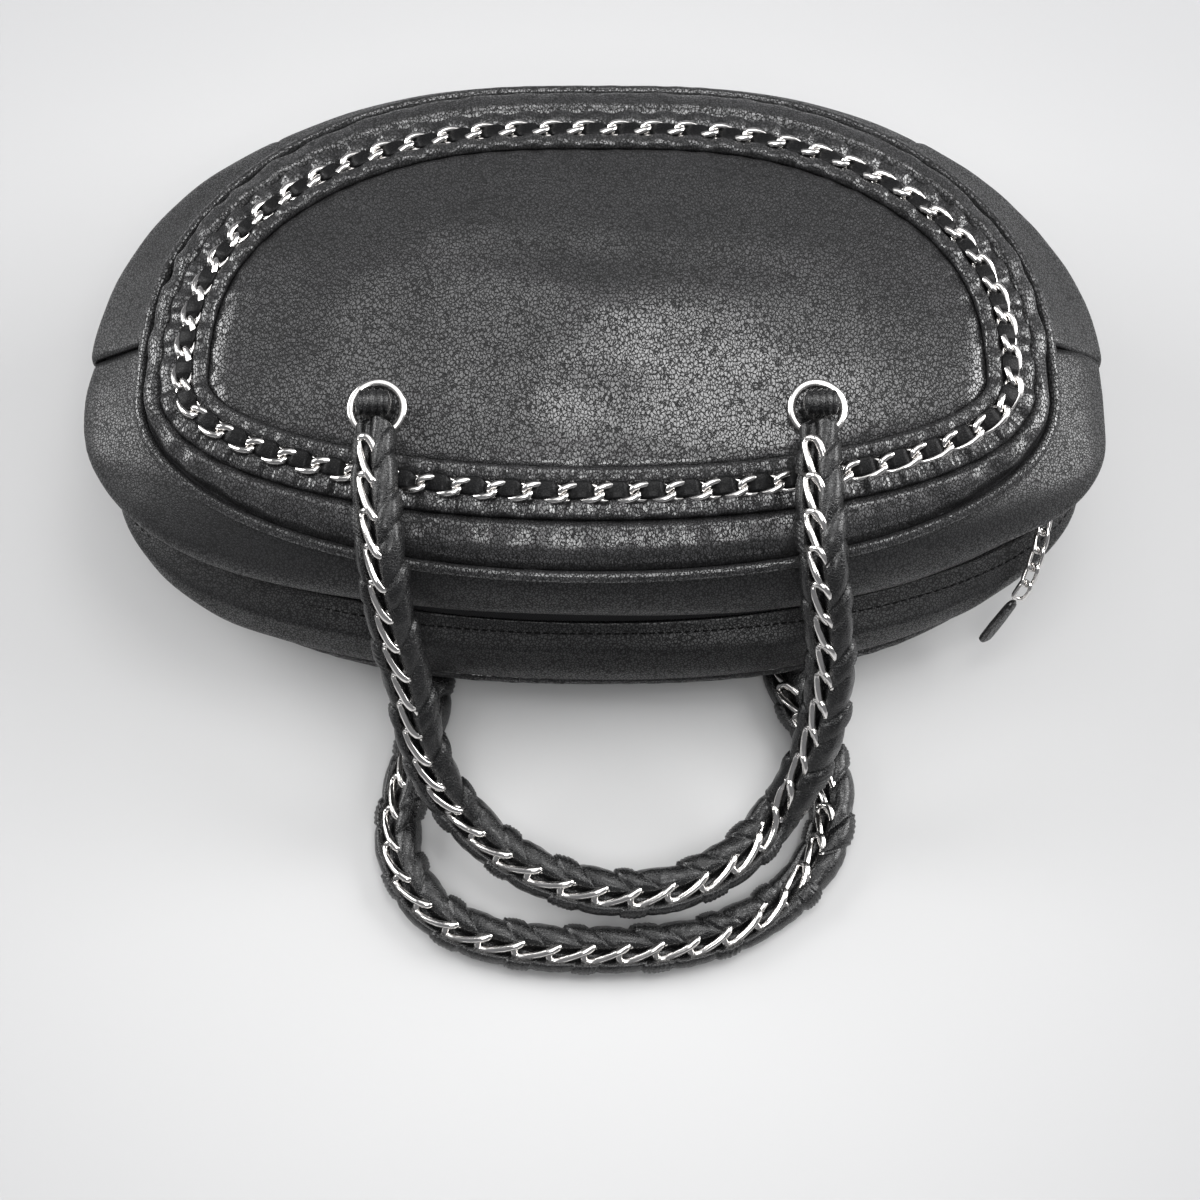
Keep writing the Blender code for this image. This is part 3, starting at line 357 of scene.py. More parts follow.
def sections(centres, first, second, wide, tall):
    """Grid of sections along a line: centre + wide along the first axis + tall along the second."""
    return centres[:, None] + wide[..., None] * first[:, None] + tall[..., None] * second[:, None]


def squared(values, power):
    """Values to a power with their signs kept; below one it makes an oval of cos and sin squarer."""
    return np.sign(values) * np.abs(values)**power


def eased(t):
    """From 0 to 1 with level ends: three squares less two cubes."""
    return t * t * (3 - 2 * t)


def lengths_along(line):
    """Distance along a line from its first point to each of its points."""
    return np.concatenate([[0], np.cumsum(np.linalg.norm(np.diff(line, axis=0), axis=1))])


def read_line(rows, lengths, at):
    """Rows of a line, read between its points at the given distances."""
    return np.stack([np.interp(at, lengths, rows[:, k]) for k in range(3)], -1)


def softened(rows, width):
    """Running mean of a line's points over an odd number of them, its ends held."""
    return np.stack([np.convolve(np.pad(rows[:, k], width // 2, "edge"), np.ones(width) / width, "valid")
                     for k in range(3)], -1)


def line_length(line, closed=False):
    """Length of a dense line."""
    if closed:
        line = np.concatenate([line, line[:1]])
    return lengths_along(line)[-1]


def add_piece(name, verts, quads, look, uv=None, merge=0.0):
    """A mesh object from points and quads, smooth shaded, with its faces turned outwards."""
    mesh = bpy.data.meshes.new(name)
    mesh.vertices.add(len(verts))
    mesh.vertices.foreach_set("co", np.ascontiguousarray(verts, np.float32).ravel())
    mesh.loops.add(quads.size)
    mesh.loops.foreach_set("vertex_index", quads.astype(np.int32).ravel())
    mesh.polygons.add(len(quads))
    mesh.polygons.foreach_set("loop_start", np.arange(len(quads), dtype=np.int32) * 4)
    mesh.update(calc_edges=True)
    if uv is not None:
        layer = mesh.uv_layers.new(name="UVMap")
        layer.data.foreach_set("uv", np.ascontiguousarray(uv, np.float32).ravel())
    shape = bmesh.new()
    shape.from_mesh(mesh)
    if merge:
        bmesh.ops.remove_doubles(shape, verts=shape.verts[:], dist=merge)
    bmesh.ops.recalc_face_normals(shape, faces=shape.faces[:])
    shape.to_mesh(mesh)
    shape.free()
    mesh.polygons.foreach_set("use_smooth", np.ones(len(mesh.polygons), bool))
    mesh.materials.append(look)
    piece = bpy.data.objects.new(name, mesh)
    bpy.context.collection.objects.link(piece)
    return piece


def grid_quads(count, rows, columns, wrap_rows, wrap_columns):
    """Quads of `count` equal grids, and each corner's row and column for a UV map."""
    i = np.arange(rows if wrap_rows else rows - 1)[:, None]
    j = np.arange(columns if wrap_columns else columns - 1)[None, :]
    i, j = np.broadcast_arrays(i, j)
    corner_rows = np.stack([i, i, i + 1, i + 1], -1).reshape(-1, 4)
    corner_columns = np.stack([j, j + 1, j + 1, j], -1).reshape(-1, 4)
    quads = corner_rows % rows * columns + corner_columns % columns
    quads = (quads[None] + (np.arange(count) * rows * columns)[:, None, None]).reshape(-1, 4)
    return quads, np.tile(corner_rows, (count, 1)), np.tile(corner_columns, (count, 1))


def tubes(name, grids, look, wrap_rows=True, uv_size=None, merge=0.0):
    """Closed tubes from grids of points, [copies, rings, sides, 3]; open runs end in a point."""
    count, rows, columns = grids.shape[:3]
    quads, corner_rows, corner_columns = grid_quads(count, rows, columns, wrap_rows, True)
    uv = None
    if uv_size:
        uv = np.stack([corner_rows * uv_size[0] / rows, corner_columns * uv_size[1] / columns], -1)
    return add_piece(name, grids.reshape(-1, 3), quads, look, uv, merge)


def walled(name, outer, inner, look, wrap=True, pole=False):
    """A wall between two grids: rows go round the bag and columns across the wall; UV in metres."""
    rows, columns = outer.shape[:2]
    faces, corner_rows, corner_columns = grid_quads(2, rows, columns, wrap, False)
    i = np.arange(rows if wrap else rows - 1)
    n = (i + 1) % rows
    back = rows * columns
    edges = []
    for column in ([columns - 1] if pole else [0, columns - 1]):
        a, b = i * columns + column, n * columns + column
        edges.append(np.stack([a, b, b + back, a + back], -1))
    if not wrap:
        j = np.arange(columns - 1)
        for row in (0, rows - 1):
            a, b = row * columns + j, row * columns + j + 1
            edges.append(np.stack([a, b, b + back, a + back], -1))
    quads = np.concatenate([faces] + edges)
    verts = np.concatenate([outer.reshape(-1, 3), inner.reshape(-1, 3)])
    run, reach = line_length(outer[:, columns // 2]), line_length(outer[0])
    uv = np.zeros(quads.shape + (2,))
    uv[:len(faces)] = np.stack([corner_rows * run / rows, corner_columns * reach / columns], -1)
    return add_piece(name, verts, quads, look, uv, merge=0.01 * MM if pole else 0.0)


def place_piece(piece, body, slot, *nodes):
    """Let a piece ride on a body and hide the solids that it stands for; its slot is not used."""
    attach(piece, body)
    if nodes:
        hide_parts(*nodes)
    return piece


# %% [markdown]
# ## The bag's skin
#
# Every leather wall is cut from one skin. It is lofted through fourteen
# outlines, from the crown of the front panel, round the gusset and the zip,
# to the flat of the back panel: each is an oval whose sizes change smoothly
# from one outline to the next. The solid model uses the same formula, so a
# wall made here lies where its solid lies.

# %% Sizes shared with the solid model
WIDTH, HEIGHT, DEPTH = 394 * MM, 236 * MM, 128 * MM
GAP, LEATHER, LINING = 0.3 * MM, 1.8 * MM, 0.9 * MM
CHAIN_WIRE, CHAIN_PITCH, CHAIN_WIDTH = 2.6 * MM, 13.2 * MM, 8.6 * MM
CHAIN_CLEAR, GROOVE_DEPTH, LACING_BASE = 0.7 * MM, 2.2 * MM, 1.2 * MM
LINK_TWIST_SLACK = 0.08 * MM
ROLL_DIAMETER, PIPING_DIAMETER = 3.8 * MM, 4.2 * MM
EYELET_PITCH, EYELET_INSET = 162 * MM, 59.5 * MM
EYELET_OUTER, EYELET_HOLE = 22.5 * MM, 16.5 * MM
EYELET_SEAT, EYELET_RIM, EYELET_BARREL_WALL = 0.6 * MM, 2.2 * MM, 0.8 * MM
ANCHOR_SLACK, ANCHOR_STOP = 2.0 * MM, 3.6 * MM
PIVOT_CLEAR, LEDGE_SLACK = 1.1 * MM, 1.6 * MM
LINING_SETBACK = GROOVE_DEPTH + LACING_BASE + GAP
EYELET_STACK = LINING_SETBACK + LINING + 2 * EYELET_SEAT
HANDLE_WIDTH, HANDLE_THICKNESS = 18.5 * MM, 11.2 * MM
FRONT_DROP, BACK_DROP = 206 * MM, 174 * MM
HANDLE_CHAIN_PROUD = 0.8 * MM
ZIP_SLOT, TAPE_UNDER = 12.6 * MM, 2.6 * MM
BASE_POWER, BASE_TAPER_SHARE = 3.2, 0.24
ZIP_CORNER_POWER, ZIP_END_SHARE, ZIP_RISE_SHARE = 12, 0.955, 0.72

# Half width, top reach, base reach, centre, side level, top level and base
# level as shares of half the width, the height and the depth; corner power.
OUTLINE_SHARES = {
    "front_crown": (0.000, 0.000, 0.000, 0.090, 1.000, 1.000, 1.000, 2.00),
    "front_field": (0.420, 0.110, 0.230, 0.050, 0.960, 0.970, 0.955, 2.00),
    "lacing": (0.787, 0.206, 0.458, 0.000, 0.855, 0.905, 0.860, 2.00),
    "band": (0.838, 0.267, 0.525, 0.000, 0.820, 0.870, 0.820, 2.05),
    "front_seam": (0.878, 0.322, 0.568, 0.000, 0.765, 0.805, 0.755, 2.08),
    "front_bulge": (0.997, 0.352, 0.618, 0.000, 0.594, 0.672, 0.640, 2.15),
    "front_roll": (0.985, 0.326, 0.627, 0.000, 0.516, 0.531, 0.531, 2.10),
    "zip": (0.962, 0.305, 0.627, 0.000, 0.445, 0.445, 0.445, 2.40),
    "back_bulge": (0.970, 0.356, 0.627, 0.000, 0.344, 0.336, 0.344, 2.40),
    "back_roll": (0.936, 0.373, 0.623, 0.000, 0.242, 0.242, 0.234, 2.40),
    "back_seam": (0.873, 0.356, 0.585, 0.000, 0.164, 0.172, 0.125, 2.40),
    "back_ledge": (0.761, 0.040, 0.450, 0.050, 0.120, 0.150, 0.040, 2.30),
    "back_flat": (0.660, 0.120, 0.240, 0.200, 0.000, 0.000, 0.000, 2.20),
    "back_centre": (0.000, 0.000, 0.000, 0.200, 0.000, 0.000, 0.000, 2.00),
}
NAMES = list(OUTLINE_SHARES)
LACING, FRONT_SEAM, ZIP, BACK_SEAM, LAST = (
    float(NAMES.index(name)) for name in ("lacing", "front_seam", "zip", "back_seam", "back_centre"))

OUTLINES = np.array(list(OUTLINE_SHARES.values()))
OUTLINES[:, 0] *= WIDTH / 2
OUTLINES[:, 1:4] *= HEIGHT
OUTLINES[:, 4:7] *= DEPTH
LEDGE = HANDLE_THICKNESS + EYELET_RIM + EYELET_SEAT + PIVOT_CLEAR + LEDGE_SLACK
OUTLINES[NAMES.index("back_ledge"), 4:6] = LEDGE
OUTLINES[NAMES.index("back_seam"), 5] = LEDGE + LEDGE_SLACK
ORIGIN = OUTLINES[int(LAST), 3]


def steady_slopes(values):
    """Harmonic mean of the steps on both sides, or none where they disagree, so nothing overshoots."""
    steps = np.diff(values, axis=0)
    before, after = steps[:-1], steps[1:]
    total = before + after
    safe = np.where(np.abs(total) > 1e-12, total, 1.0)
    inner = np.where(before * after > 0, 2 * before * after / safe, 0.0)
    return np.concatenate([steps[:1], inner, steps[-1:]])


SLOPES = steady_slopes(OUTLINES)
ZIP_REACH, ZIP_LEVEL = OUTLINES[int(ZIP), 1], OUTLINES[int(ZIP), 4]
ZIP_HALF = OUTLINES[int(ZIP), 0] * ZIP_END_SHARE
ZIP_RISE = ZIP_REACH * ZIP_RISE_SHARE
ZIP_RADIUS = (ZIP_HALF**2 + ZIP_RISE**2) / (2 * ZIP_RISE)
ZIP_CENTRE_Y = ZIP_RADIUS - ZIP_REACH
ZIP_ANGLE = math.asin(ZIP_HALF / ZIP_RADIUS)


def outline_at(v):
    """Cubic between neighbouring outlines: values p0, p1 and slopes m0, m1 at share t."""
    v = np.clip(v, 0.0, LAST)
    low = np.minimum(v.astype(int), len(NAMES) - 2)
    t = (v - low)[..., None]
    p0, p1, m0, m1 = OUTLINES[low], OUTLINES[low + 1], SLOPES[low], SLOPES[low + 1]
    return ((2 * t**3 - 3 * t**2 + 1) * p0 + (t**3 - 2 * t**2 + t) * m0
            + (3 * t**2 - 2 * t**3) * p1 + (t**3 - t**2) * m1)


def skin(u, v):
    """Point at angle u and station v: x and y on a squared oval, z between its levels by sin squared."""
    u, v = np.broadcast_arrays(np.asarray(u, float), np.asarray(v, float))
    half, top, base, centre, side_z, top_z, base_z, power = np.moveaxis(outline_at(v), -1, 0)
    c, s = np.cos(u), np.sin(u)
    over = s < 0
    bend = np.where(over, 2 / power, 2 / BASE_POWER)
    x = half * squared(c, bend)
    y = np.where(over, top, base) * squared(s, bend)
    near = eased(np.clip(1 - np.abs(v - ZIP), 0, 1))
    share = np.minimum(np.abs(x) / np.maximum(half, GAP), 1.0)
    arc = ZIP_CENTRE_Y - np.sqrt(ZIP_RADIUS**2 - np.minimum(np.abs(x), ZIP_RADIUS)**2)
    arc = arc * (1 - share**ZIP_CORNER_POWER)**(1 / ZIP_CORNER_POWER)
    y = np.where(over, y + (arc - y) * near, y)
    z = side_z * c**2 + np.where(over, top_z, base_z) * s**2
    return np.stack([x * (1 - BASE_TAPER_SHARE * np.maximum(s, 0)**1.5), y + centre - ORIGIN, z], -1)


def directions(u, v):
    """Unit vectors on the skin: across its outline towards the back, and outwards."""
    d = 0.01
    run = unit(skin(u + d, v) - skin(u - d, v))
    drop = skin(u, np.minimum(v + d, LAST)) - skin(u, np.maximum(v - d, 0.0))
    out = unit(np.cross(drop, run))
    return np.cross(run, out), out


def station_near(u, v, along):
    """Station that lies the distance `along` past outline v, found by Newton's steps."""
    here = np.full(np.shape(u), float(v))
    square = directions(u, here)[0]
    start = skin(u, here)
    for _ in range(5):
        travelled = ((skin(u, here) - start) * square).sum(-1)
        slope = ((skin(u, here + 0.01) - skin(u, here - 0.01)) * square).sum(-1) / 0.02
        here = here + (along - travelled) / np.maximum(slope, GAP)
    return here


def skin_spot(x, y, v):
    """Angle and station of the skin above x and y, found by Newton's steps from v."""
    u, step = 1.5 * math.pi + math.copysign(math.pi / 4, x), 1e-4
    for _ in range(40):
        here = skin(u, v)[:2]
        by_u = (skin(u + step, v)[:2] - here) / step
        by_v = (skin(u, v + step)[:2] - here) / step
        move = np.linalg.solve(np.stack([by_u, by_v], -1), np.array([x, y]) - here)
        u, v = u + float(np.clip(move[0], -0.2, 0.2)), v + float(np.clip(move[1], -0.3, 0.3))
    return u, v


print("zip radius", round(ZIP_RADIUS, 4), "m, zip half angle", round(math.degrees(ZIP_ANGLE), 1))

# %% [markdown]
# ## How soft leather folds
#
# A hide that bends over a corner buckles into ridges. A cloth simulation is
# one way to find them. Here they are sums of slanted waves instead, because
# each wall must stay within reach of its solid and close against its seams.
# The waves are strong at the bag's ends and weak on the taut middle.

# %% Waves, puckers and folds


def waves(points, size, seed, kinds=6):
    """Sum of sine waves of about one size in random directions, between -1 and 1."""
    rng = np.random.default_rng(seed)
    total = np.zeros(points.shape[:-1])
    for _ in range(kinds):
        direction = unit(rng.normal(size=3)) * TAU / size * rng.uniform(0.75, 1.35)
        total += np.sin(points @ direction + rng.uniform(0, TAU))
    return total / math.sqrt(kinds) / 1.4


def ridges(points, size, seed):
    """Soft ridges between wide hollows: one less twice the wave's size, rounded at the crest."""
    return 1.2 - 2 * np.sqrt(waves(points, size, seed)**2 + 0.04)


def ends(points, start, end):
    """Share that grows from the bag's middle to its left and right ends."""
    return eased(np.clip((np.abs(points[..., 0]) - start) / (end - start), 0, 1))


LACE_US = np.linspace(0, TAU, 1441)
LACE_POINTS = skin(LACE_US, LACING)
LACE_LENGTHS = lengths_along(LACE_POINTS)
LACE_LINKS = int(round(LACE_LENGTHS[-1] / CHAIN_PITCH))


def link_phase(u):
    """Number of links from the start of the laced chain to angle u."""
    return np.interp(np.mod(u, TAU), LACE_US, LACE_LENGTHS) / LACE_LENGTHS[-1] * LACE_LINKS


def leather_wall(name, node, us, start, end, lift, thickness, look, columns, slot="black_leather",
                 wrap=True, pole=False):
    """A wall over the skin between two edges; lift(u, t, points) is its rise over the skin.

    Each edge is a station and a distance past it, a number or a function of u. The wall's
    columns crowd towards its edges: t = (1 - cos) / 2. It stands for one solid of the bag.
    """
    edges = []
    for station, along in (start, end):
        along = along(us) if callable(along) else np.full(us.shape, float(along))
        edges.append(station_near(us, station, along) if np.any(along) else np.full(us.shape, station))
    t = (1 - np.cos(np.linspace(0, math.pi, columns))) / 2
    if pole:
        t = np.sin(np.linspace(0, math.pi / 2, columns))
    u, v = us[:, None], edges[0][:, None] + (edges[1] - edges[0])[:, None] * t
    base, out = skin(u, v), directions(np.broadcast_to(u, v.shape), v)[1]
    if pole:
        out[:, 0] = (0.0, 0.0, math.copysign(1.0, base[0, 0, 2] - DEPTH / 2))
    rise = lift(u, t[None, :], base)
    if pole:
        rise[:, 0] = rise[:, 0].mean()
    outer = base + out * rise[..., None]
    piece = walled(name, outer, outer - out * thickness, look, wrap, pole)
    return place_piece(piece, "bag_body", slot, node)


def quarter_fall(near, depth):
    """Fall along a quarter circle: the whole depth at an edge, where near is 0, and none from 1 on."""
    return depth * (np.sqrt(1 - (1 - np.clip(near, 0, 1))**2) - 1)


def edge_fall(t, width_share, depth):
    """Fall towards both edges of a wall, a quarter circle over a share of its width."""
    return quarter_fall(np.minimum(t, 1 - t) / width_share, depth)


# %% [markdown]
# ## The front panel and its trim
#
# The panel's edge is drawn tight by the lacing, so a cuff rolls over beside
# the groove, and a rolled strip faces it on the other side. Both swell between
# the crossings of the chain and cover the links' middles there. Beyond them
# come the puffed band, and the piping in the outer seam. The rolls could be
# curves with a bevel, but lobes that follow the links need a surface of their own.

# %% Front panel, groove, strip, band and pipings
# Each wall reaches up to half a millimetre under its neighbour's edge
GROOVE_HALF = CHAIN_WIDTH / 2 + CHAIN_CLEAR + GAP
ROLL_AT = GROOVE_HALF + GAP + ROLL_DIAMETER / 2
BAND_START = ROLL_AT + ROLL_DIAMETER / 2 + GAP
SEAM_EDGE = PIPING_DIAMETER / 2 + GAP - 0.5 * MM
AROUND = 480
RING = circle(AROUND)


def link_gap(phase, width=0.25):
    """One at the crossings of the links and none between them: a flat-topped bell of the phase."""
    off = np.mod(phase + 0.5, 1.0) - 0.5
    return np.exp(-(off / width)**4)


CUFF_HALF = 2.6 * MM
CUFF_AT = -GROOVE_HALF - CUFF_HALF + 0.9 * MM


def panel_rise(u, t, points):
    """Soft swells, and a quarter-round fall into the crease beside the cuff."""
    swell = waves(points, 90 * MM, 3) * 1.1 * MM + waves(points, 34 * MM, 4) * 0.35 * MM
    fall = quarter_fall((1 - t) / 0.07, 2.0 * MM)
    pucker = np.cos(TAU * link_phase(u)) * 0.16 * MM * np.exp(-(1 - t) / 0.05)
    fine = ridges(points, 9 * MM, 5) * 0.14 * MM * np.exp(-(1 - t) / 0.14)
    return swell * (1 - np.exp(-(1 - t) / 0.1)) + fall + pucker + fine + 0.5 * MM


def sunk_by(depth):
    """A wall's rise that is one depth below the skin."""
    return lambda u, t, points: np.zeros(points.shape[:-1]) - depth


leather_wall("front_panel_leather", "front_panel", RING, (0.0, 0.0),
             (LACING, CUFF_AT - CUFF_HALF + 0.3 * MM), panel_rise, LEATHER, hide, columns=72, pole=True)
FLOOR_HALF = GROOVE_HALF + 0.5 * MM
leather_wall("lacing_groove_floor", "front_lacing_base", RING, (LACING, -FLOOR_HALF), (LACING, FLOOR_HALF),
             sunk_by(GROOVE_DEPTH), 1.0 * MM, gusset_hide, columns=6)


def band_rise(u, t, points):
    """A puffed band pinched into both of its seams, with creases across it."""
    crown = np.clip(t / 0.24, 0, 1)**0.8 * np.clip((1.04 - t) / 0.52, 0, 1)
    puff = 4.0 * MM * np.sin(math.pi / 2 * crown)**1.3 - 0.7 * MM
    across = np.sin(link_phase(u) * TAU * 0.83 + waves(points, 40 * MM, 7) * 2.2)
    crease = across * 0.20 * MM * (1 + 1.4 * ends(points, 0.08, 0.15))
    slack = ridges(points, 17 * MM, 8) * (0.20 + 0.7 * ends(points, 0.09, 0.16)) * MM
    sunk = 1.8 * MM * ends(points, 0.10, 0.165) * np.clip((t - 0.55) / 0.45, 0, 1)**2
    return puff + (crease + slack) * np.sin(math.pi * t)**0.5 - sunk - 0.8 * MM


leather_wall("puffed_band", "front_band", RING, (LACING, BAND_START - 0.4 * MM), (FRONT_SEAM, -SEAM_EDGE),
             band_rise, LEATHER, band_hide, columns=26)


def rolled(name, station, along, sizes, lift, look, nodes=(), lobe=0.0, raised=0.0, sides=20):
    """A roll along an outline: ovals square to it, with a soft lobe between each two crossings.

    sizes is half its width and its height; lobe is how far it reaches towards the chain, and
    raised is how much higher it stands between the crossings, where it covers the links.
    """
    us = circle(AROUND * 3)
    v = station_near(us, station, np.full(us.shape, float(along)))
    drop, out = directions(us, v)
    g = circle(sides)
    base = skin(us, v)
    swell = 1 - link_gap(link_phase(us)) if lobe else np.zeros(us.shape)
    rough = 1 + 0.05 * waves(base, 8 * MM, 11)
    wide, high = squared(np.cos(g), 0.8), squared(np.sin(g), 0.8)
    towards = np.clip(wide * math.copysign(1, lobe), 0, 1)
    aside = sizes[0] * wide[None] * rough[:, None] + lobe * (0.7 + 0.3 * swell)[:, None] * towards[None]
    over = np.clip(high, 0, 1)
    rise = (sizes[1] * high[None] * rough[:, None] + raised * swell[:, None] * over[None]
            + (lift - 0.5 * MM * ends(base, 0.1, 0.165))[:, None])
    piece = tubes(name, sections(base, drop, out, aside, rise)[None], look, uv_size=(1.0, 8 * MM))
    return place_piece(piece, "bag_body", "black_leather", *nodes)


PIPING_SIZES = (PIPING_DIAMETER / 2,) * 2
rolled("laced_cuff", LACING, CUFF_AT, (CUFF_HALF, 1.9 * MM), lift=0.4 * MM, look=band_hide,
       lobe=1.3 * MM, raised=1.1 * MM)
rolled("laced_rolled_strip", LACING, ROLL_AT, (ROLL_DIAMETER / 2 + 0.3 * MM, 1.4 * MM), lift=0.0,
       look=band_hide, nodes=["front_rolled_strip"], lobe=-3.6 * MM, raised=2.1 * MM)
rolled("front_seam_piping", FRONT_SEAM, 0.0, PIPING_SIZES, lift=0.7 * MM, look=hide, nodes=["front_piping"])
rolled("back_seam_piping", BACK_SEAM, 0.0, PIPING_SIZES, lift=0.6 * MM, look=hide, nodes=["back_piping"])
print("laced chain:", LACE_LINKS, "links over", round(LACE_LENGTHS[-1], 3), "m")

# %% [markdown]
# ## Gussets, base and back
#
# The gusset is in five parts: two halves either side of the zip, a side
# piece at each end and the base. Towards the ends the halves fold like a
# cuff, because the lying bag squashes them there.

# %% The walls round the bag
STEP = TAU / 30
SIDE_SEAM, SEAM_TURN = STEP / 4, STEP / 18
SLOT_SHUT, SLOT_OPEN = STEP / 3, STEP
BASE_CORNER = 4 * STEP


def slot_half(u):
    """Half of the zip slot's width, which closes past the ends of the zip."""
    past = np.minimum(u - math.pi, TAU - u)
    open_share = np.clip((past - SLOT_SHUT) / (SLOT_OPEN - SLOT_SHUT), 0, 1)
    return GAP / 2 + (ZIP_SLOT / 2 - GAP / 2) * open_share


def gusset_rise(seed, depth, seam=0.0):
    """Folds that run round the bag and grow towards its ends, and a fall into each seam."""
    def rise(u, t, points):
        """The sum of both kinds of fold, a broad dent and the falls."""
        long_points = points * (0.35, 0.6, 1.25)
        share = ends(points, 0.07, 0.17)
        fold = waves(long_points, 42 * MM, seed) * (0.5 + 1.8 * share) * depth
        crumple = waves(points * (0.6, 0.8, 1.2), 17 * MM, seed + 3) * 0.20 * MM * (0.4 + share)
        dent = waves(points, 110 * MM, seed + 1) * 1.2 * depth
        pin = np.sin(math.pi * t)**0.5
        near = np.exp(-t / 0.10) if seam > 0 else np.exp(-(1 - t) / 0.10)
        sunk = abs(seam) * near * (0.35 + 0.65 * share)
        upright = edge_fall((u - u[0]) / (u[-1] - u[0]), 0.02, 0.8 * MM)
        return (fold + dent + crumple) * pin - sunk + edge_fall(t, 0.03, 0.5 * MM) + upright
    return rise


TOP_RUN = np.linspace(math.pi - SIDE_SEAM - SEAM_TURN * 0.4, TAU + SIDE_SEAM + SEAM_TURN * 0.4, 360)
SIDE_RUN = np.linspace(SIDE_SEAM + SEAM_TURN * 0.55, BASE_CORNER - SEAM_TURN / 10, 110)
BASE_RUN = np.linspace(BASE_CORNER + SEAM_TURN / 10, math.pi - BASE_CORNER - SEAM_TURN / 10, 160)
UPPER_EDGE, LOWER_EDGE = (FRONT_SEAM, SEAM_EDGE), (BACK_SEAM, -SEAM_EDGE)
for name, node, run, start, end, columns, rise in (
        ("front_gusset_leather", "front_top_gusset", TOP_RUN, UPPER_EDGE, (ZIP, lambda u: -slot_half(u)), 44,
         gusset_rise(21, 1.0 * MM, 2.6 * MM)),
        ("back_gusset_leather", "back_top_gusset", TOP_RUN, (ZIP, slot_half), LOWER_EDGE, 44,
         gusset_rise(23, 1.0 * MM, -1.6 * MM)),
        ("right_side_leather", "right_side_gusset", SIDE_RUN, UPPER_EDGE, LOWER_EDGE, 80,
         gusset_rise(25, 0.9 * MM)),
        ("left_side_leather", "left_side_gusset", math.pi - SIDE_RUN[::-1], UPPER_EDGE, LOWER_EDGE, 80,
         gusset_rise(25, 0.9 * MM)),
        ("base_leather", "base_panel", BASE_RUN, UPPER_EDGE, LOWER_EDGE, 60, gusset_rise(27, 0.25 * MM))):
    leather_wall(name, node, run, start, end, rise, LEATHER, gusset_hide, columns, wrap=False)


def back_rise(u, t, points):
    """Shallow swells that fade on the flat that the bag lies on."""
    clear = np.clip(points[..., 2] / (8 * MM), 0, 1)
    return waves(points, 70 * MM, 31) * 0.8 * MM * clear


leather_wall("back_panel_leather", "back_panel", RING, (LAST, 0.0), (BACK_SEAM, SEAM_EDGE),
             back_rise, LEATHER, hide, columns=60, pole=True)

# %% [markdown]
# ## Curb chain
#
# A curb chain is a row of oval links, each twisted so that the chain lies
# flat: the front end of a link leans one way, its back end the other, and
# neighbours cross at a right angle. One formula gives the middle line of a
# link, and a circle carried round it gives the wire.

# %% A curb chain along a line


def along_line(line, ups, distance, closed):
    """Points and the axes ahead, across and up at distances along a dense line."""
    if closed:
        line, ups = np.concatenate([line, line[:1]]), np.concatenate([ups, ups[:1]])
    lengths = lengths_along(line)
    total, d = lengths[-1], 0.6 * MM
    here, after, before = (at % total if closed else np.clip(at, 0, total)
                           for at in (distance, distance + d, distance - d))
    ahead = unit(read_line(line, lengths, after) - read_line(line, lengths, before))
    across = unit(np.cross(read_line(ups, lengths, here), ahead))
    return read_line(line, lengths, here), ahead, across, np.cross(ahead, across)


def curb_links(line, ups, pitch, width, wire, closed=False, rings=30, sides=10, slant=0.0, buried=1.0,
               blunt=0.72):
    """Grids of a curb chain: along = a cos f, across = b sin f + slant along, height = -c sin 2f.

    cos and sin are raised to the power `blunt`, which makes the ends of an oval blunter below
    one. c is half a wire and the slack of the twist, so that wires cross one over the other; it
    is less by the share `buried` on the side that leather covers.
    """
    total = line_length(line, closed)
    inset = 0.0 if closed else wire
    links = int(round((total - 2 * inset) / pitch))
    step = (total - 2 * inset) / links
    f = circle(rings)[None, :]
    reach, side = step / 2 + wire / 2 + abs(slant) * 1.6 * MM, (width - wire) / 2
    lift = wire / 2 + LINK_TWIST_SLACK
    run = squared(np.cos(f), blunt) * reach
    middles = inset + (np.arange(links) + 0.5) * step
    sway = np.random.default_rng(links).normal(0, 1.0, (links, 2))
    distance = middles[:, None] + run + sway[:, :1] * 0.18 * MM
    point, _, across, up = along_line(line, ups, distance, closed)
    over = side * squared(np.sin(f), blunt) + run * (slant + sway[:, 1:] * 0.025)
    rise = np.clip(-1.25 * np.sin(2 * f), -1, np.where(np.sin(f) > 0, buried, 1.0)) * lift
    centre = point + across * over[..., None] + up * rise[..., None]
    tangent = unit(np.roll(centre, -1, axis=1) - np.roll(centre, 1, axis=1))
    outward = centre - centre.mean(axis=1, keepdims=True)
    outward = unit(outward - (outward * tangent).sum(-1, keepdims=True) * tangent)
    other = np.cross(tangent, outward)
    return centre[:, :, None] + wire / 2 * ring(outward[:, :, None], other[:, :, None], sides)


chain_half = CHAIN_WIRE + LINK_TWIST_SLACK
lace_out = directions(RING, np.full(RING.shape, LACING))[1]
lace_line = skin(RING, LACING) + lace_out * (chain_half + CHAIN_CLEAR - GROOVE_DEPTH)
border_links = curb_links(lace_line, lace_out, CHAIN_PITCH, CHAIN_WIDTH, CHAIN_WIRE, closed=True, blunt=0.92)
border_chain = tubes("laced_border_chain", border_links, link_metal)
place_piece(border_chain, "bag_body", "bright_nickel", "front_lacing_chain")

# %% [markdown]
# ## The lace through the border chain
#
# A strip of leather holds the chain in its groove: it lies over the middle of
# each link and dips where two links cross, so only a hook and a short bar of
# wire show at each crossing. It could be cut into lobes, but one flat ribbon
# whose width and height follow the links' phase bends on as the real one does.

# %% The lace


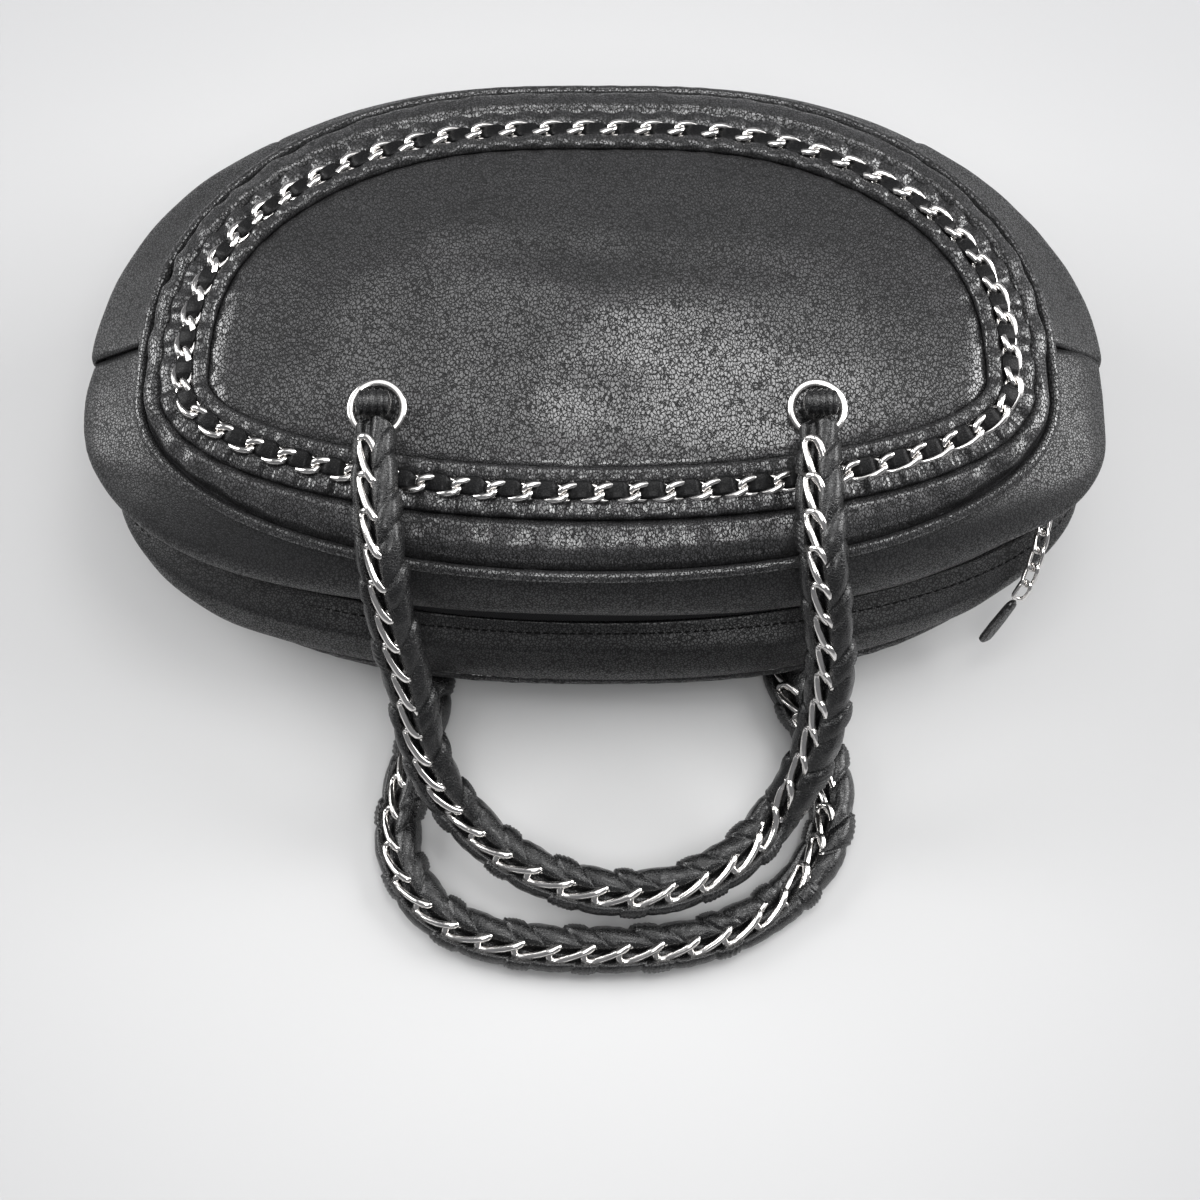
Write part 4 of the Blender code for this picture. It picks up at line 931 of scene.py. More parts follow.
def ribbon(line, ups, links, narrow, wide, aside, low, high):
    """Grid of a strip that dips under each crossing of a chain and covers the links' middles.

    Between the crossings it is wide, lies aside of the line and stands high; at a crossing it
    is narrow and low. The share is one less the flat-topped bell of the link's phase.
    """
    total = line_length(line, True)
    distance = np.linspace(0, total, links * 18, endpoint=False)
    share = 1 - link_gap(distance / total * links)
    point, ahead, across, up = along_line(line, ups, distance, True)
    lift = low + (high - low) * share
    centre = point + up * lift[:, None] + across * (aside * share)[:, None]
    normal = unit(up - ahead * np.gradient(lift, distance)[:, None] * 0.5)
    g = circle(12)
    flat = squared(np.cos(g), 0.5)
    deep = squared(np.sin(g), 0.8) * 0.8 * MM
    half = (narrow + (wide - narrow) * share) / 2
    return sections(centre, across, normal, half[:, None] * flat, deep[None])


lace_grid = ribbon(lace_line, lace_out, LACE_LINKS, narrow=5.2 * MM, wide=6.9 * MM, aside=1.1 * MM,
                   low=-0.75 * MM, high=1.25 * MM)
lace = tubes("border_lace", lace_grid[None], lace_hide, uv_size=(LACE_LENGTHS[-1], 10 * MM))
place_piece(lace, "bag_body", "black_leather")

# %% [markdown]
# ## The handles' routes
#
# Each handle is a loop laid flat by a smooth curve through listed
# places, then draped: the front one follows a taut line from its eyelets over
# the bag's edge down to the back handle, which lies on the table.

# %% Lines of both handles
FRONT_ROUTE_SHARES = [
    (-1.00, 0.00), (-1.00, 0.14), (-0.97, 0.28), (-0.93, 0.42), (-0.86, 0.56),
    (-0.82, 0.68), (-0.70, 0.81), (-0.46, 0.915), (-0.15, 0.98), (0.18, 1.00),
    (0.50, 0.970), (0.78, 0.885), (0.97, 0.75), (1.05, 0.62), (1.07, 0.50),
    (1.04, 0.38), (1.00, 0.20), (1.00, 0.00),
]
BACK_ROUTE_SHARES = [
    (-1.00, 0.00), (-0.94, 0.16), (-0.83, 0.32), (-0.84, 0.46), (-0.92, 0.61),
    (-0.96, 0.73), (-0.91, 0.83), (-0.73, 0.93), (-0.42, 0.985), (0.03, 1.00),
    (0.48, 0.98), (0.83, 0.905), (1.06, 0.79), (1.13, 0.66), (1.08, 0.52),
    (0.95, 0.39), (0.90, 0.27), (0.95, 0.13), (1.00, 0.00),
]
LANDING_REACH_SHARE, DRAPE_SHARE, SOFTENING = 0.60, 0.66, 9
HALF_THICK = HANDLE_THICKNESS / 2
EYELET_Y = EYELET_INSET - OUTLINES[int(FRONT_SEAM), 1]
front_pivot = np.array(joints["front_handle_swing"]["pos_m"])
back_pivot = np.array(joints["back_handle_swing"]["pos_m"])


def smooth_line(knots, per_knot=24):
    """Catmull-Rom curve through the knots."""
    knots = np.asarray(knots, float)
    rows = np.concatenate([[2 * knots[0] - knots[1]], knots, [2 * knots[-1] - knots[-2]]])
    a, b, c, d = rows[:-3, None], rows[1:-2, None], rows[2:-1, None], rows[3:, None]
    t = np.linspace(0, 1, per_knot, endpoint=False)[None, :, None]
    curve = 0.5 * (2 * b + (c - a) * t + (2 * a - 5 * b + 4 * c - d) * t**2
                   + (3 * b - a - 3 * c + d) * t**3)
    return np.concatenate([curve.reshape(-1, knots.shape[1]), knots[-1:]])


def turn(a, b, c):
    """Positive where the line a, b, c bends down, seen with y falling."""
    return (b[1] - a[1]) * (a[0] - c[0]) - (c[1] - a[1]) * (a[0] - b[0])


def drape(start, rim, landing_y, level):
    """Taut line in y and z over the eyelet's rim and the bag's edge: their upper hull."""
    stations = np.linspace(LACING - 0.5, ZIP + 2, 90)
    sizes = outline_at(stations)
    reach = np.minimum(EYELET_PITCH / 2 * DRAPE_SHARE / sizes[:, 0], 1.0)
    u = 1.5 * math.pi + np.arcsin(reach**(sizes[:, 7] / 2))
    clear = HALF_THICK + 2 * chain_half + 2 * GAP - GROOVE_DEPTH
    line = (skin(u, stations) + directions(u, stations)[1] * clear)[:, 1:]
    points = [tuple(start), tuple(rim)] + [tuple(p) for p in line] + [(landing_y, level)]
    hull = []
    for p in sorted(points, key=lambda p: -p[0]):
        while len(hull) > 1 and turn(hull[-2], hull[-1], p) <= 0:
            hull.pop()
        hull.append(p)
    return np.array(hull)


def handle_line(shares, drop, profile):
    """A flat route laid over a profile of y and z, softened by a running mean, cut short of the pivots."""
    flat = smooth_line([(x * EYELET_PITCH / 2, w * drop, 0.0) for x, w in shares])
    along = np.maximum(flat[:, 1], 0.0)
    lengths = lengths_along(profile)
    y = np.interp(along, lengths, profile[:, 0]) - np.maximum(along - lengths[-1], 0.0)
    line = np.stack([flat[:, 0], y, np.interp(along, lengths, profile[:, 1])], -1)
    line = softened(line, SOFTENING)
    clear = HALF_THICK + GAP
    inner = np.minimum(np.linalg.norm(line - line[0], axis=1), np.linalg.norm(line - line[-1], axis=1))
    kept = line[inner > clear]
    first = line[0] + unit(kept[0] - line[0]) * clear
    last = line[-1] + unit(kept[-1] - line[-1]) * clear
    return np.concatenate([[first], kept[1:-1], [last]])


spots = {}
for side, word in ((-1, "left"), (1, "right")):
    for face, station in (("front", LACING - 0.6), ("back", BACK_SEAM + 0.9)):
        u, v = skin_spot(side * EYELET_PITCH / 2, EYELET_Y - ORIGIN, station)
        spots[face, word] = (skin(u, v), directions(np.array([u]), np.array([v]))[1][0])
centre, out = spots["front", "right"]
rim = front_pivot + unit(np.cross([1.0, 0.0, 0.0], out)) * EYELET_OUTER / 2 + out * GAP
level = 3 * HALF_THICK + HANDLE_CHAIN_PROUD + 2 * GAP
landing = front_pivot[1] - FRONT_DROP * LANDING_REACH_SHARE
front_line = handle_line(FRONT_ROUTE_SHARES, FRONT_DROP, drape(front_pivot[1:], rim[1:], landing, level))
back_y, back_z = back_pivot[1:]
back_profile = np.array([[back_y, back_z], [back_y - HANDLE_WIDTH, back_z],
                         [back_y - 3 * HANDLE_WIDTH, HALF_THICK], [back_y - BACK_DROP / 2, HALF_THICK]])
back_line = handle_line(BACK_ROUTE_SHARES, BACK_DROP, back_profile)
for word, line in (("front", front_line), ("back", back_line)):
    print(word, "handle's middle line:", round(line_length(line), 3), "m")

# %% [markdown]
# ## Wound leather round a chain
#
# The chain lies on one side of the handle's face. A strap wound round the
# core covers the links' inner sides, so each link shows as one bright arc,
# and the strap's turns make slanted bulges with a step at each edge. The
# section is a closed curve, and the turns are a saw-tooth wave on it.

# %% Handle leather and handle chain
# Section in millimetres: across (the chain's side is positive) and up
SECTION = smooth_line(np.array([
    (0.0, -5.3), (5.2, -5.0), (8.2, -3.2), (8.8, -0.6), (8.5, 1.6), (7.4, 3.1), (6.0, 2.6), (4.4, 1.3),
    (2.6, 1.1), (1.5, 2.2), (0.8, 4.3), (-0.8, 5.6), (-3.6, 6.0), (-6.8, 4.8), (-8.8, 0.6), (-8.2, -3.0),
    (-5.2, -5.0), (0.0, -5.3)]) * MM, 5)[:-1]
MIRRORED = np.roll(SECTION[::-1], 1, axis=0) * (-1, 1)
CHAIN_OVER = 3.3 * MM
TURN_PITCH = 2 * CHAIN_PITCH
CHAIN_ASIDE = 1.2 * MM
HANDLE_WIRE = 3.0 * MM


def handle_frames(line, step):
    """Even points along a handle with their axes ahead, aside and up."""
    lengths = lengths_along(line)
    at = np.linspace(0, lengths[-1], int(lengths[-1] / step))
    points = read_line(line, lengths, at)
    ahead = unit(softened(unit(np.gradient(points, axis=0)), 13))
    side = unit(np.cross(ahead, [0.0, 0.0, 1.0]))
    return at, points, ahead, side, np.cross(side, ahead)


def swap_share(share):
    """From 0 where the chain lies on the loop's outer side to 1 on its inner side."""
    return eased(np.clip((share - 0.60) / 0.12, 0, 1))


def handle_leather(name, line, seed):
    """A two-lobed section, mirrored where the chain changes sides, with a wound strap's turns.

    The turns follow a saw-tooth f = (s - slant across) / pitch: raised and pleated for its
    first part, a smooth puff for the rest.
    """
    at, points, ahead, side, up = handle_frames(line, 0.5 * MM)
    swap = swap_share(at / at[-1])[:, None]
    sign = 1 - 2 * swap
    section = SECTION[None] * (1 - swap[..., None]) + MIRRORED[None] * swap[..., None]
    placed, high = np.moveaxis(section, -1, 0)
    across = placed * sign
    wander = waves(points, 50 * MM, seed)[:, None] * 2.2 * MM
    fold, far_edge, near_edge = 2 * MM, 9.2 * MM, 13.2 * MM
    bend = np.where(across < fold, -(across + far_edge), across - near_edge)
    f = np.mod((at[:, None] + sign * bend + wander) / TURN_PITCH, 1.0)
    f = np.where(sign < 0, 1 - f, f)
    wrap = 0.38
    inside = np.clip((f - wrap) / (1 - wrap), 0, 1)
    puff = np.sin(math.pi * inside**0.8)**0.6 * 0.9 - 0.1
    strap = 0.75 + 0.45 * np.sin(math.pi * np.clip(f / wrap, 0, 1))
    strap = strap * np.clip(np.minimum(f, wrap - f) / 0.022, 0, 1)
    pleats = 0.16 * np.sin(TAU * f * TURN_PITCH / (1.7 * MM) + waves(points, 9 * MM, seed + 5)[:, None] * 2)
    turns = (np.where(f < wrap, strap + pleats, puff) - 0.55) * 1.5
    lobe = np.clip((1.0 * MM - across) / (2.0 * MM), 0, 1)
    rim = np.clip((across - 5.0 * MM) / (2 * MM), 0, 1)
    under = high < -1.5 * MM
    strength = np.where(under, 0.8, lobe + 0.8 * rim + 0.08)
    surface = sections(points, side, up, placed, high)
    crumple = ridges(surface, 9 * MM, seed + 1) * 0.14 + waves(surface, 4.5 * MM, seed + 2) * 0.05
    rise = np.where(under, np.minimum(turns * strength, 0), turns * strength + crumple) * MM
    radial = unit(np.stack([placed / HANDLE_WIDTH**2, high / HANDLE_THICKNESS**2], -1))
    inward = np.minimum(at, at[-1] - at)
    end, close = np.clip(inward / (2 * MM), 0, 1), np.clip(inward / (32 * MM), 0, 1)[:, None]
    narrow = (0.78 + 0.22 * eased(close)) * np.sqrt(1 - (1 - end)**2)[:, None].clip(0.6)
    wide = (placed + radial[..., 0] * rise) * narrow
    tall = (high + radial[..., 1] * rise) * (0.88 + 0.12 * close)
    grid = sections(points, side, up, wide, tall)
    grid = np.concatenate([np.broadcast_to(points[0], grid[:1].shape), grid,
                           np.broadcast_to(points[-1], grid[:1].shape)])
    return tubes(name, grid[None], handle_hide, wrap_rows=False, uv_size=(at[-1], 48 * MM),
                 merge=0.005 * MM)


def handle_chain(name, line):
    """The chain on one side of the handle's face, half buried beside the lobe."""
    at, points, ahead, side, up = handle_frames(line, 1.0 * MM)
    aside = CHAIN_ASIDE * (1 - 2 * swap_share(at / at[-1])[:, None])
    clear = (at > HALF_THICK) & (at < at[-1] - HALF_THICK)
    chain_path = (points + side * aside + up * CHAIN_OVER)[clear]
    links = curb_links(chain_path, up[clear], CHAIN_PITCH, CHAIN_WIDTH, HANDLE_WIRE, slant=0.27, buried=0.3)
    return tubes(f"{name}_curb_chain", links, link_metal)


for face, line, seed in (("front", front_line, 41), ("back", back_line, 47)):
    leather = handle_leather(f"{face}_handle_wound_leather", line, seed)
    place_piece(leather, f"{face}_handle", "black_leather", f"{face}_handle_leather")
    place_piece(handle_chain(f"{face}_handle", line), f"{face}_handle", "bright_nickel",
                f"{face}_handle_chain")

# %% [markdown]
# ## Eyelets and the handles' ends
#
# An eyelet is turned: one profile swept round its axis. Its rim is a rounded
# bead, and its barrel goes down through the hide. The handle's end comes up
# through the hole as a gathered strap that turns over a small roll.

# %% Turned eyelets and gathered ends


def axes_for(out):
    """Two unit vectors square to a direction."""
    first = unit(np.cross(out, [0.0, 1.0, 0.0]))
    return first, np.cross(out, first)


def turned(name, profile, centre, out, look, sides=64):
    """A closed profile of radius and height pairs, swept round an axis."""
    profile = np.asarray(profile, float)
    grid = centre + profile[None, :, :1] * ring(*axes_for(out), sides)[:, None] + profile[None, :, 1:2] * out
    return tubes(name, grid[None], look)


def eyelet_profile():
    """Section of the eyelet: barrel, a bead that rolls over, a flat skirt and the flange inside."""
    hole, outer = EYELET_HOLE / 2, EYELET_OUTER / 2
    bead = np.linspace(0, math.pi, 13)
    middle, radius, foot = (hole + outer) / 2, (outer - hole) / 2, 0.3 * MM
    top = [(middle - radius * math.cos(a), EYELET_SEAT + foot + (EYELET_RIM - foot) * math.sin(a)**0.42)
           for a in bead]
    barrel, back = hole + EYELET_BARREL_WALL, EYELET_STACK + EYELET_RIM / 2
    return top + [(outer, EYELET_SEAT), (barrel, EYELET_SEAT), (barrel, -EYELET_STACK),
                  (outer, -EYELET_STACK), (outer, -back), (hole, -back)]


def gathered_end(name, centre, out, pivot):
    """A strap up through the hole that turns over a roll: circles along x that swell, pleated round it.

    Below, a stem with the same pleats goes through the hole to the stop inside.
    """
    half, radius, sides = EYELET_HOLE / 2 - 5 * GAP, HALF_THICK, 56
    share = np.linspace(-1, 1, 41)
    g = circle(sides)
    swell = np.sqrt(np.clip(1 - np.abs(share)**5, 0, 1))
    pleat = 1 + 0.07 * np.sin(share * 17 + 1.2) + 0.03 * np.sin(share * 41)
    size = (radius * 0.88 * swell * pleat)[:, None]
    roll = pivot + np.stack([np.broadcast_to((share * half)[:, None], (41, sides)),
                             size * np.cos(g)[None], size * np.sin(g)[None]], -1)
    stem, inside = EYELET_HOLE / 2 - ANCHOR_SLACK, -EYELET_STACK - EYELET_RIM / 2 - GAP
    stop = inside - ANCHOR_STOP
    lift = float(np.dot(pivot - centre, out))
    profile = np.array([(0.0, stop), (EYELET_OUTER / 2, stop), (EYELET_OUTER / 2, inside), (stem, inside),
                        (stem, 0.0), (stem * 0.9, lift * 0.6), (stem * 0.7, lift * 0.9), (0.0, lift)])
    gathered = 1 + 0.05 * np.sin(g * 11)
    post = (centre + (profile[:, :1] * gathered[None])[..., None] * ring(*axes_for(out), sides)[None]
            + profile[:, 1:2, None] * out)
    row = np.linspace(0, len(post) - 1, 41)
    low = np.minimum(row.astype(int), len(post) - 2)
    post = post[low] + (post[low + 1] - post[low]) * (row - low)[:, None, None]
    return tubes(name, np.stack([roll, post]), handle_hide, wrap_rows=False, uv_size=(30 * MM, 36 * MM),
                 merge=0.002 * MM)


for (face, word), (centre, out) in spots.items():
    eyelet = turned(f"{face}_{word}_eyelet_ring", eyelet_profile(), centre, out, link_metal)
    place_piece(eyelet, "bag_body", "bright_nickel", f"{face}_{word}_eyelet")
    knot = gathered_end(f"{face}_{word}_gathered_end", centre, out,
                        centre + out * (EYELET_SEAT + EYELET_RIM + PIVOT_CLEAR + HALF_THICK))
    place_piece(knot, "bag_body", "black_leather", f"{face}_{word}_handle_anchor")

# %% [markdown]
# ## The zip
#
# The zip sits in the valley between the gusset's halves: two rows of small
# teeth that interlock, their woven tapes, a slider, and a pull made of a
# short chain with a leather tab.

# %% Teeth, tapes, slider and pull
TEETH_PITCH = 2.3 * MM
SLIDER_LENGTH = 11.5 * MM
TEETH_SINK, TEETH_THICKNESS, TEETH_SPLIT, TEETH_WIDTH = 0.9 * MM, 2.4 * MM, 1.0 * MM, 2.8 * MM


def zip_frame(angle):
    """Points of the zip's arc with axes back along it, outwards and up."""
    angle = np.asarray(angle, float)
    zero = np.zeros_like(angle)
    out = np.stack([np.sin(angle), -np.cos(angle), zero], -1)
    back = np.stack([-np.cos(angle), -np.sin(angle), zero], -1)
    centre = np.array([0.0, ZIP_CENTRE_Y - ORIGIN, ZIP_LEVEL])
    return centre + out * ZIP_RADIUS, back, out, np.array([0.0, 0.0, 1.0])


def tooth_shape(sign):
    """Grid of one tooth, [rings, sides, 3]: along, outwards and up, a rounded bar with a beak."""
    up = np.array([0.0, 0.0, 0.35, 0.75, 1.0, 1.0])
    fat = np.array([0.0, 0.80, 0.95, 1.0, 0.85, 0.0])
    g = circle(8)
    along = 0.42 * TEETH_PITCH * squared(np.cos(g), 0.6)
    deep = 0.5 * TEETH_THICKNESS * squared(np.sin(g), 0.6)
    z = sign * (TEETH_SPLIT / 2 - 0.35 * MM + up * (TEETH_WIDTH + 0.35 * MM))
    return np.stack([fat[:, None] * along, fat[:, None] * deep - TEETH_SINK - TEETH_THICKNESS / 2,
                     np.broadcast_to(z[:, None], (6, 8))], -1)


def teeth(name, sign, shift):
    """One row of teeth along the arc."""
    count = int(2 * ZIP_ANGLE * ZIP_RADIUS / TEETH_PITCH)
    angles = (np.arange(count) + 0.5 + shift - count / 2) * TEETH_PITCH / ZIP_RADIUS
    point, back, out, up = zip_frame(angles)
    shape = tooth_shape(sign)
    grids = (point[:, None, None] + shape[None, ..., :1] * back[:, None, None]
             + shape[None, ..., 1:2] * out[:, None, None] + shape[None, ..., 2:] * up)
    return tubes(name, grids, zip_metal, wrap_rows=False, merge=0.001 * MM)


TAPE_RUN = np.linspace(math.pi + STEP, TAU - STEP, 220)
for face, sign in (("front", 1), ("back", -1)):
    row = teeth(f"{face}_zip_row", sign, 0.25 * sign)
    place_piece(row, "bag_body", "bright_nickel", f"{face}_zip_teeth")
    edges = sorted([-sign * (TEETH_SPLIT / 2 + TEETH_WIDTH - 0.8 * MM),
                    -sign * (ZIP_SLOT / 2 + TAPE_UNDER)])
    leather_wall(f"{face}_zip_woven_tape", f"{face}_zip_tape", TAPE_RUN, (ZIP, edges[0]), (ZIP, edges[1]),
                 sunk_by(LEATHER + 2 * GAP), 1.0 * MM, tape_cloth, columns=8, slot="zip_tape", wrap=False)


def stitches(name, sign):
    """A row of short threads along the gusset's edge: a capsule for each, sunk at both ends."""
    pitch, length, thick, inset = 3.4 * MM, 2.6 * MM, 0.7 * MM, 2.6 * MM
    us = np.linspace(math.pi + STEP, TAU - STEP, 400)
    edge = station_near(us, ZIP, sign * (slot_half(us) + inset))
    line = skin(us, edge) + directions(us, edge)[1] * 0.15 * MM
    total = line_length(line)
    middles = np.arange(pitch, total - pitch, pitch)
    share = np.linspace(-1, 1, 7)
    out = directions(us, edge)[1]
    distance = middles[:, None] + share[None] * length / 2
    point, ahead, across, up = along_line(line, out, distance, False)
    point = point + up * (thick * 0.35 * (1 - share**2) - 0.1 * MM)[None, :, None]
    fat = (np.sqrt(np.clip(1 - share**6, 0, 1)) * thick / 2)[None, :, None, None]
    threads = point[:, :, None] + fat * ring(across[:, :, None], up[:, :, None], 6)
    piece = tubes(name, threads, lace_hide, wrap_rows=False, uv_size=(0.1, 2 * MM), merge=0.001 * MM)
    return place_piece(piece, "bag_body", "black_leather")


stitches("front_zip_stitches", -1)
stitches("back_zip_stitches", 1)


def rounded_slab(middle, axes, half_sizes, rings=9, sides=32, power=0.55):
    """Grid of a pillow-edged plate: a superellipse outline, drawn in over its rounded thickness."""
    middle, axes = np.asarray(middle, float), np.asarray(axes, float)
    level = np.linspace(-1, 1, rings)
    inset = (1 - np.abs(level)**4)**0.25
    inset[0] = inset[-1] = 0.0
    shrink = 1 - min(half_sizes[2] / half_sizes[0], 1) * (1 - inset) * 0.9
    shrink[0] = shrink[-1] = 0.0
    g = circle(sides)
    x, y = squared(np.cos(g), power) * half_sizes[0], squared(np.sin(g), power) * half_sizes[1]
    level[0], level[-1] = -0.995, 0.995
    local = np.stack([shrink[:, None] * x, shrink[:, None] * y,
                      np.broadcast_to((level * half_sizes[2])[:, None], (rings, sides))], -1)
    return middle + local @ axes


def make_slider():
    """Two plates over and under the teeth, a bridge at the back and a bail for the pull."""
    rest = ZIP_ANGLE - SLIDER_LENGTH / ZIP_RADIUS
    point, back, out, up = zip_frame(rest)
    axes = np.stack([back, up, out])
    top = -TEETH_SINK + GAP
    under = -TEETH_SINK - TEETH_THICKNESS - GAP
    plate = (SLIDER_LENGTH / 2, TEETH_SPLIT / 2 + TEETH_WIDTH + GAP, 0.9 * MM)
    grids = [rounded_slab(point + out * (top + 0.9 * MM), axes, plate),
             rounded_slab(point + out * (under - 0.9 * MM), axes, plate),
             rounded_slab(point + out * (top + 2.6 * MM), axes, (SLIDER_LENGTH * 0.36, 0.9 * MM, 1.1 * MM)),
             rounded_slab(point + out * ((top + under) / 2) + back * 1.5 * MM, axes,
                          (2.0 * MM, 0.35 * MM, (top - under) / 2 + 0.5 * MM))]
    piece = tubes("zip_slider_body", np.stack(grids), zip_metal, wrap_rows=False, merge=0.001 * MM)
    place_piece(piece, "zip_slide", "bright_nickel", "zip_slider")
    return point + out * (top + 3.6 * MM), np.stack([back, out, up])


bail_top, pull_axes = make_slider()
PULL_REACH, PULL_WIRE, PULL_PITCH, PULL_WIDTH = 23.5 * MM, 1.8 * MM, 7.4 * MM, 6.2 * MM
PULL_ROUTE_SHARES = [
    (0.0, 0.0, 0.0), (0.07, 0.14, 0.0), (0.383, 0.489, -0.128), (0.787, 0.830, -0.511),
    (1.000, 0.885, -0.809),
]
PULL_TAB_DIRECTION = (0.58, 0.12, -0.80)
PULL_TAB_LENGTH, PULL_TAB_WIDTH, PULL_TAB_THICKNESS = 24 * MM, 8.5 * MM, 3.0 * MM
pull_route = smooth_line(np.array(PULL_ROUTE_SHARES) * PULL_REACH)
pull_line = pull_route @ pull_axes + bail_top + pull_axes[1] * 2 * GAP
pull_run = unit(pull_line[-1] - pull_line[0])
pull_across = unit(np.cross(pull_run, pull_axes[2]))
pull_up = np.broadcast_to(np.cross(pull_across, pull_run), pull_line.shape)
pull_links = curb_links(pull_line, pull_up, PULL_PITCH, PULL_WIDTH, PULL_WIRE)
pull_chain = tubes("zip_pull_links", pull_links, link_metal)
place_piece(pull_chain, "zip_pull", "bright_nickel", "zip_pull_chain")


def make_tab():
    """A padded leather tab: a rounded outline that tapers towards the chain, swept along its length."""
    ahead = unit(np.array(PULL_TAB_DIRECTION)) @ pull_axes
    side = unit(np.cross(ahead, pull_axes[1]))
    face = np.cross(side, ahead)
    share = np.linspace(0, 1, 40)
    wide = np.interp(share, [0.0, 0.12, 0.55, 0.90, 1.0],
                     [0.45, 0.70, 1.0, 0.92, 0.55]) * PULL_TAB_WIDTH / 2
    ends_share = np.sqrt(np.clip(1 - (2 * share - 1)**12, 0, 1))
    g = circle(24)
    x, y = squared(np.cos(g), 0.7), squared(np.sin(g), 0.7)
    seam = 1 - 0.25 * (np.abs(np.abs(x) - 0.8) < 0.12)
    centre = pull_line[-1] + ahead * (2 * GAP) + share[:, None] * ahead * PULL_TAB_LENGTH
    thick = (ends_share * PULL_TAB_THICKNESS / 2)[:, None] * (y * seam)
    grid = sections(centre, side[None], face[None], (ends_share * wide)[:, None] * x, thick)
    return tubes("zip_pull_leather_tab", grid[None], hide, wrap_rows=False,
                 uv_size=(PULL_TAB_LENGTH, 20 * MM), merge=0.002 * MM)


place_piece(make_tab(), "zip_pull", "black_leather", "zip_pull_tab")

# %% End tabs of the zip
END_TAB_LENGTH, END_TAB_THICKNESS = 17 * MM, 2.2 * MM
turn_by = END_TAB_LENGTH / OUTLINES[int(ZIP), 0]
TAB_RUN = TAU + np.linspace(-0.4, 0.6, 40) * turn_by


def tab_rise(u, t, points):
    """A padded tab with rounded ends."""
    along = (u - TAB_RUN[0]) / (TAB_RUN[-1] - TAB_RUN[0])
    return EYELET_SEAT + END_TAB_THICKNESS + edge_fall(t, 0.2, 0.9 * MM) + edge_fall(along, 0.12, 0.9 * MM)


for word in ("right", "left"):
    run = TAB_RUN if word == "right" else (3 * math.pi - TAB_RUN)[::-1]
    rise = tab_rise if word == "right" else (lambda u, t, p: tab_rise(3 * math.pi - u, t, p))
    leather_wall(f"{word}_zip_end_leather", f"{word}_zip_end_tab", run, (ZIP, -ZIP_SLOT / 2),
                 (ZIP, ZIP_SLOT / 2), rise, END_TAB_THICKNESS - 0.3 * MM, hide, columns=16, wrap=False)

# %% [markdown]
# ## Feet and what is inside
#
# Four turned feet are riveted through the base and show from behind. Inside
# are the lining, a slip pocket and the board, which show only if the bag is
# taken apart. They stay simple, but each has its own cloth or fibre.

# %% Feet, lining, pocket and board
FOOT_DIAMETER, FOOT_HEIGHT, FOOT_STEM, FOOT_WASHER = 12.5 * MM, 5.5 * MM, 3.6 * MM, 1.2 * MM
BOARD_THICKNESS = 2.4 * MM


def foot_profile():
    """Section of a foot: a domed head, a stem through the hide and a washer inside."""
    head, stem = FOOT_DIAMETER / 2, FOOT_STEM / 2
    through = LINING_SETBACK + LINING + BOARD_THICKNESS + 2 * EYELET_SEAT
    bend = np.linspace(0, math.pi / 2, 10)
    dome = [(head * math.sin(a)**0.8, EYELET_SEAT + (FOOT_HEIGHT - EYELET_SEAT) * math.cos(a)**0.8)
            for a in bend[1:]]
    tip = [(0.02 * MM, dome[0][1] + 0.01 * MM)]
    return tip + dome + [(head, EYELET_SEAT), (stem, EYELET_SEAT), (stem, -through), (head, -through),
                         (head, -through - FOOT_WASHER), (0.02 * MM, -through - FOOT_WASHER)]


FOOT_ANGLE = 5.5 * STEP
feet = [(u, v) for v in (ZIP - 1, ZIP + 1) for u in (FOOT_ANGLE, math.pi - FOOT_ANGLE)]
for number, (u, v) in enumerate(feet, 1):
    corners = skin(u + STEP / 2 * np.array([-1, 1, 1, -1]), v + np.array([-1, -1, 1, 1]))
    out = unit(np.cross(corners[2] - corners[0], corners[3] - corners[1]))
    foot = turned(f"base_foot_{number}_turned", foot_profile(), corners.mean(axis=0),
                  out * math.copysign(1.0, out[1]), zip_metal, sides=40)
    place_piece(foot, "bag_body", "bright_nickel", f"base_foot_{number}")
    points = np.array([vertex.co for vertex in foot.data.vertices])
    gap = np.abs(np.array([points.min(0), points.max(0)]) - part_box(f"base_foot_{number}")).max()
    print(foot.name, "box differs from its solid's by", round(gap / MM, 2), "mm")
frame["nodes"]["base_board"].material_slots[0].material = board_fibre


def lining_edge(u):
    """Distance of the lining's edge from the zip's line."""
    turned_u = np.mod(u, TAU)
    over = (turned_u > math.pi + SLOT_SHUT) & (turned_u < TAU - SLOT_SHUT)
    edge = slot_half(np.where(over, turned_u, 1.5 * math.pi)) + TAPE_UNDER + GAP
    return np.where(over, edge, GAP)


def lining_rise(u, t, points):
    """Loose cloth that stays inside the walls."""
    loose = np.abs(waves(points, 24 * MM, 61)) * 0.4 * MM
    return np.zeros(points.shape[:-1]) - LINING_SETBACK - 0.3 * MM - loose


RING_FEW = circle(160)
for face, start, sign in (("front", 0.0, -1), ("back", LAST, 1)):
    leather_wall(f"{face}_lining_cloth", f"{face}_lining", RING_FEW, (start, 0.0),
                 (ZIP, lambda u: sign * lining_edge(u)), lining_rise, LINING, lining_cloth, columns=40,
                 slot="black_lining", pole=True)
low, high = (np.array(corner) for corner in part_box("inner_pocket"))
pocket_grid = rounded_slab((low + high) / 2, np.eye(3), (high - low) / 2, sides=96, power=0.35)
pocket = tubes("slip_pocket_cloth", pocket_grid[None], lining_cloth, wrap_rows=False, merge=0.002 * MM)
place_piece(pocket, "bag_body", "black_lining", "inner_pocket")

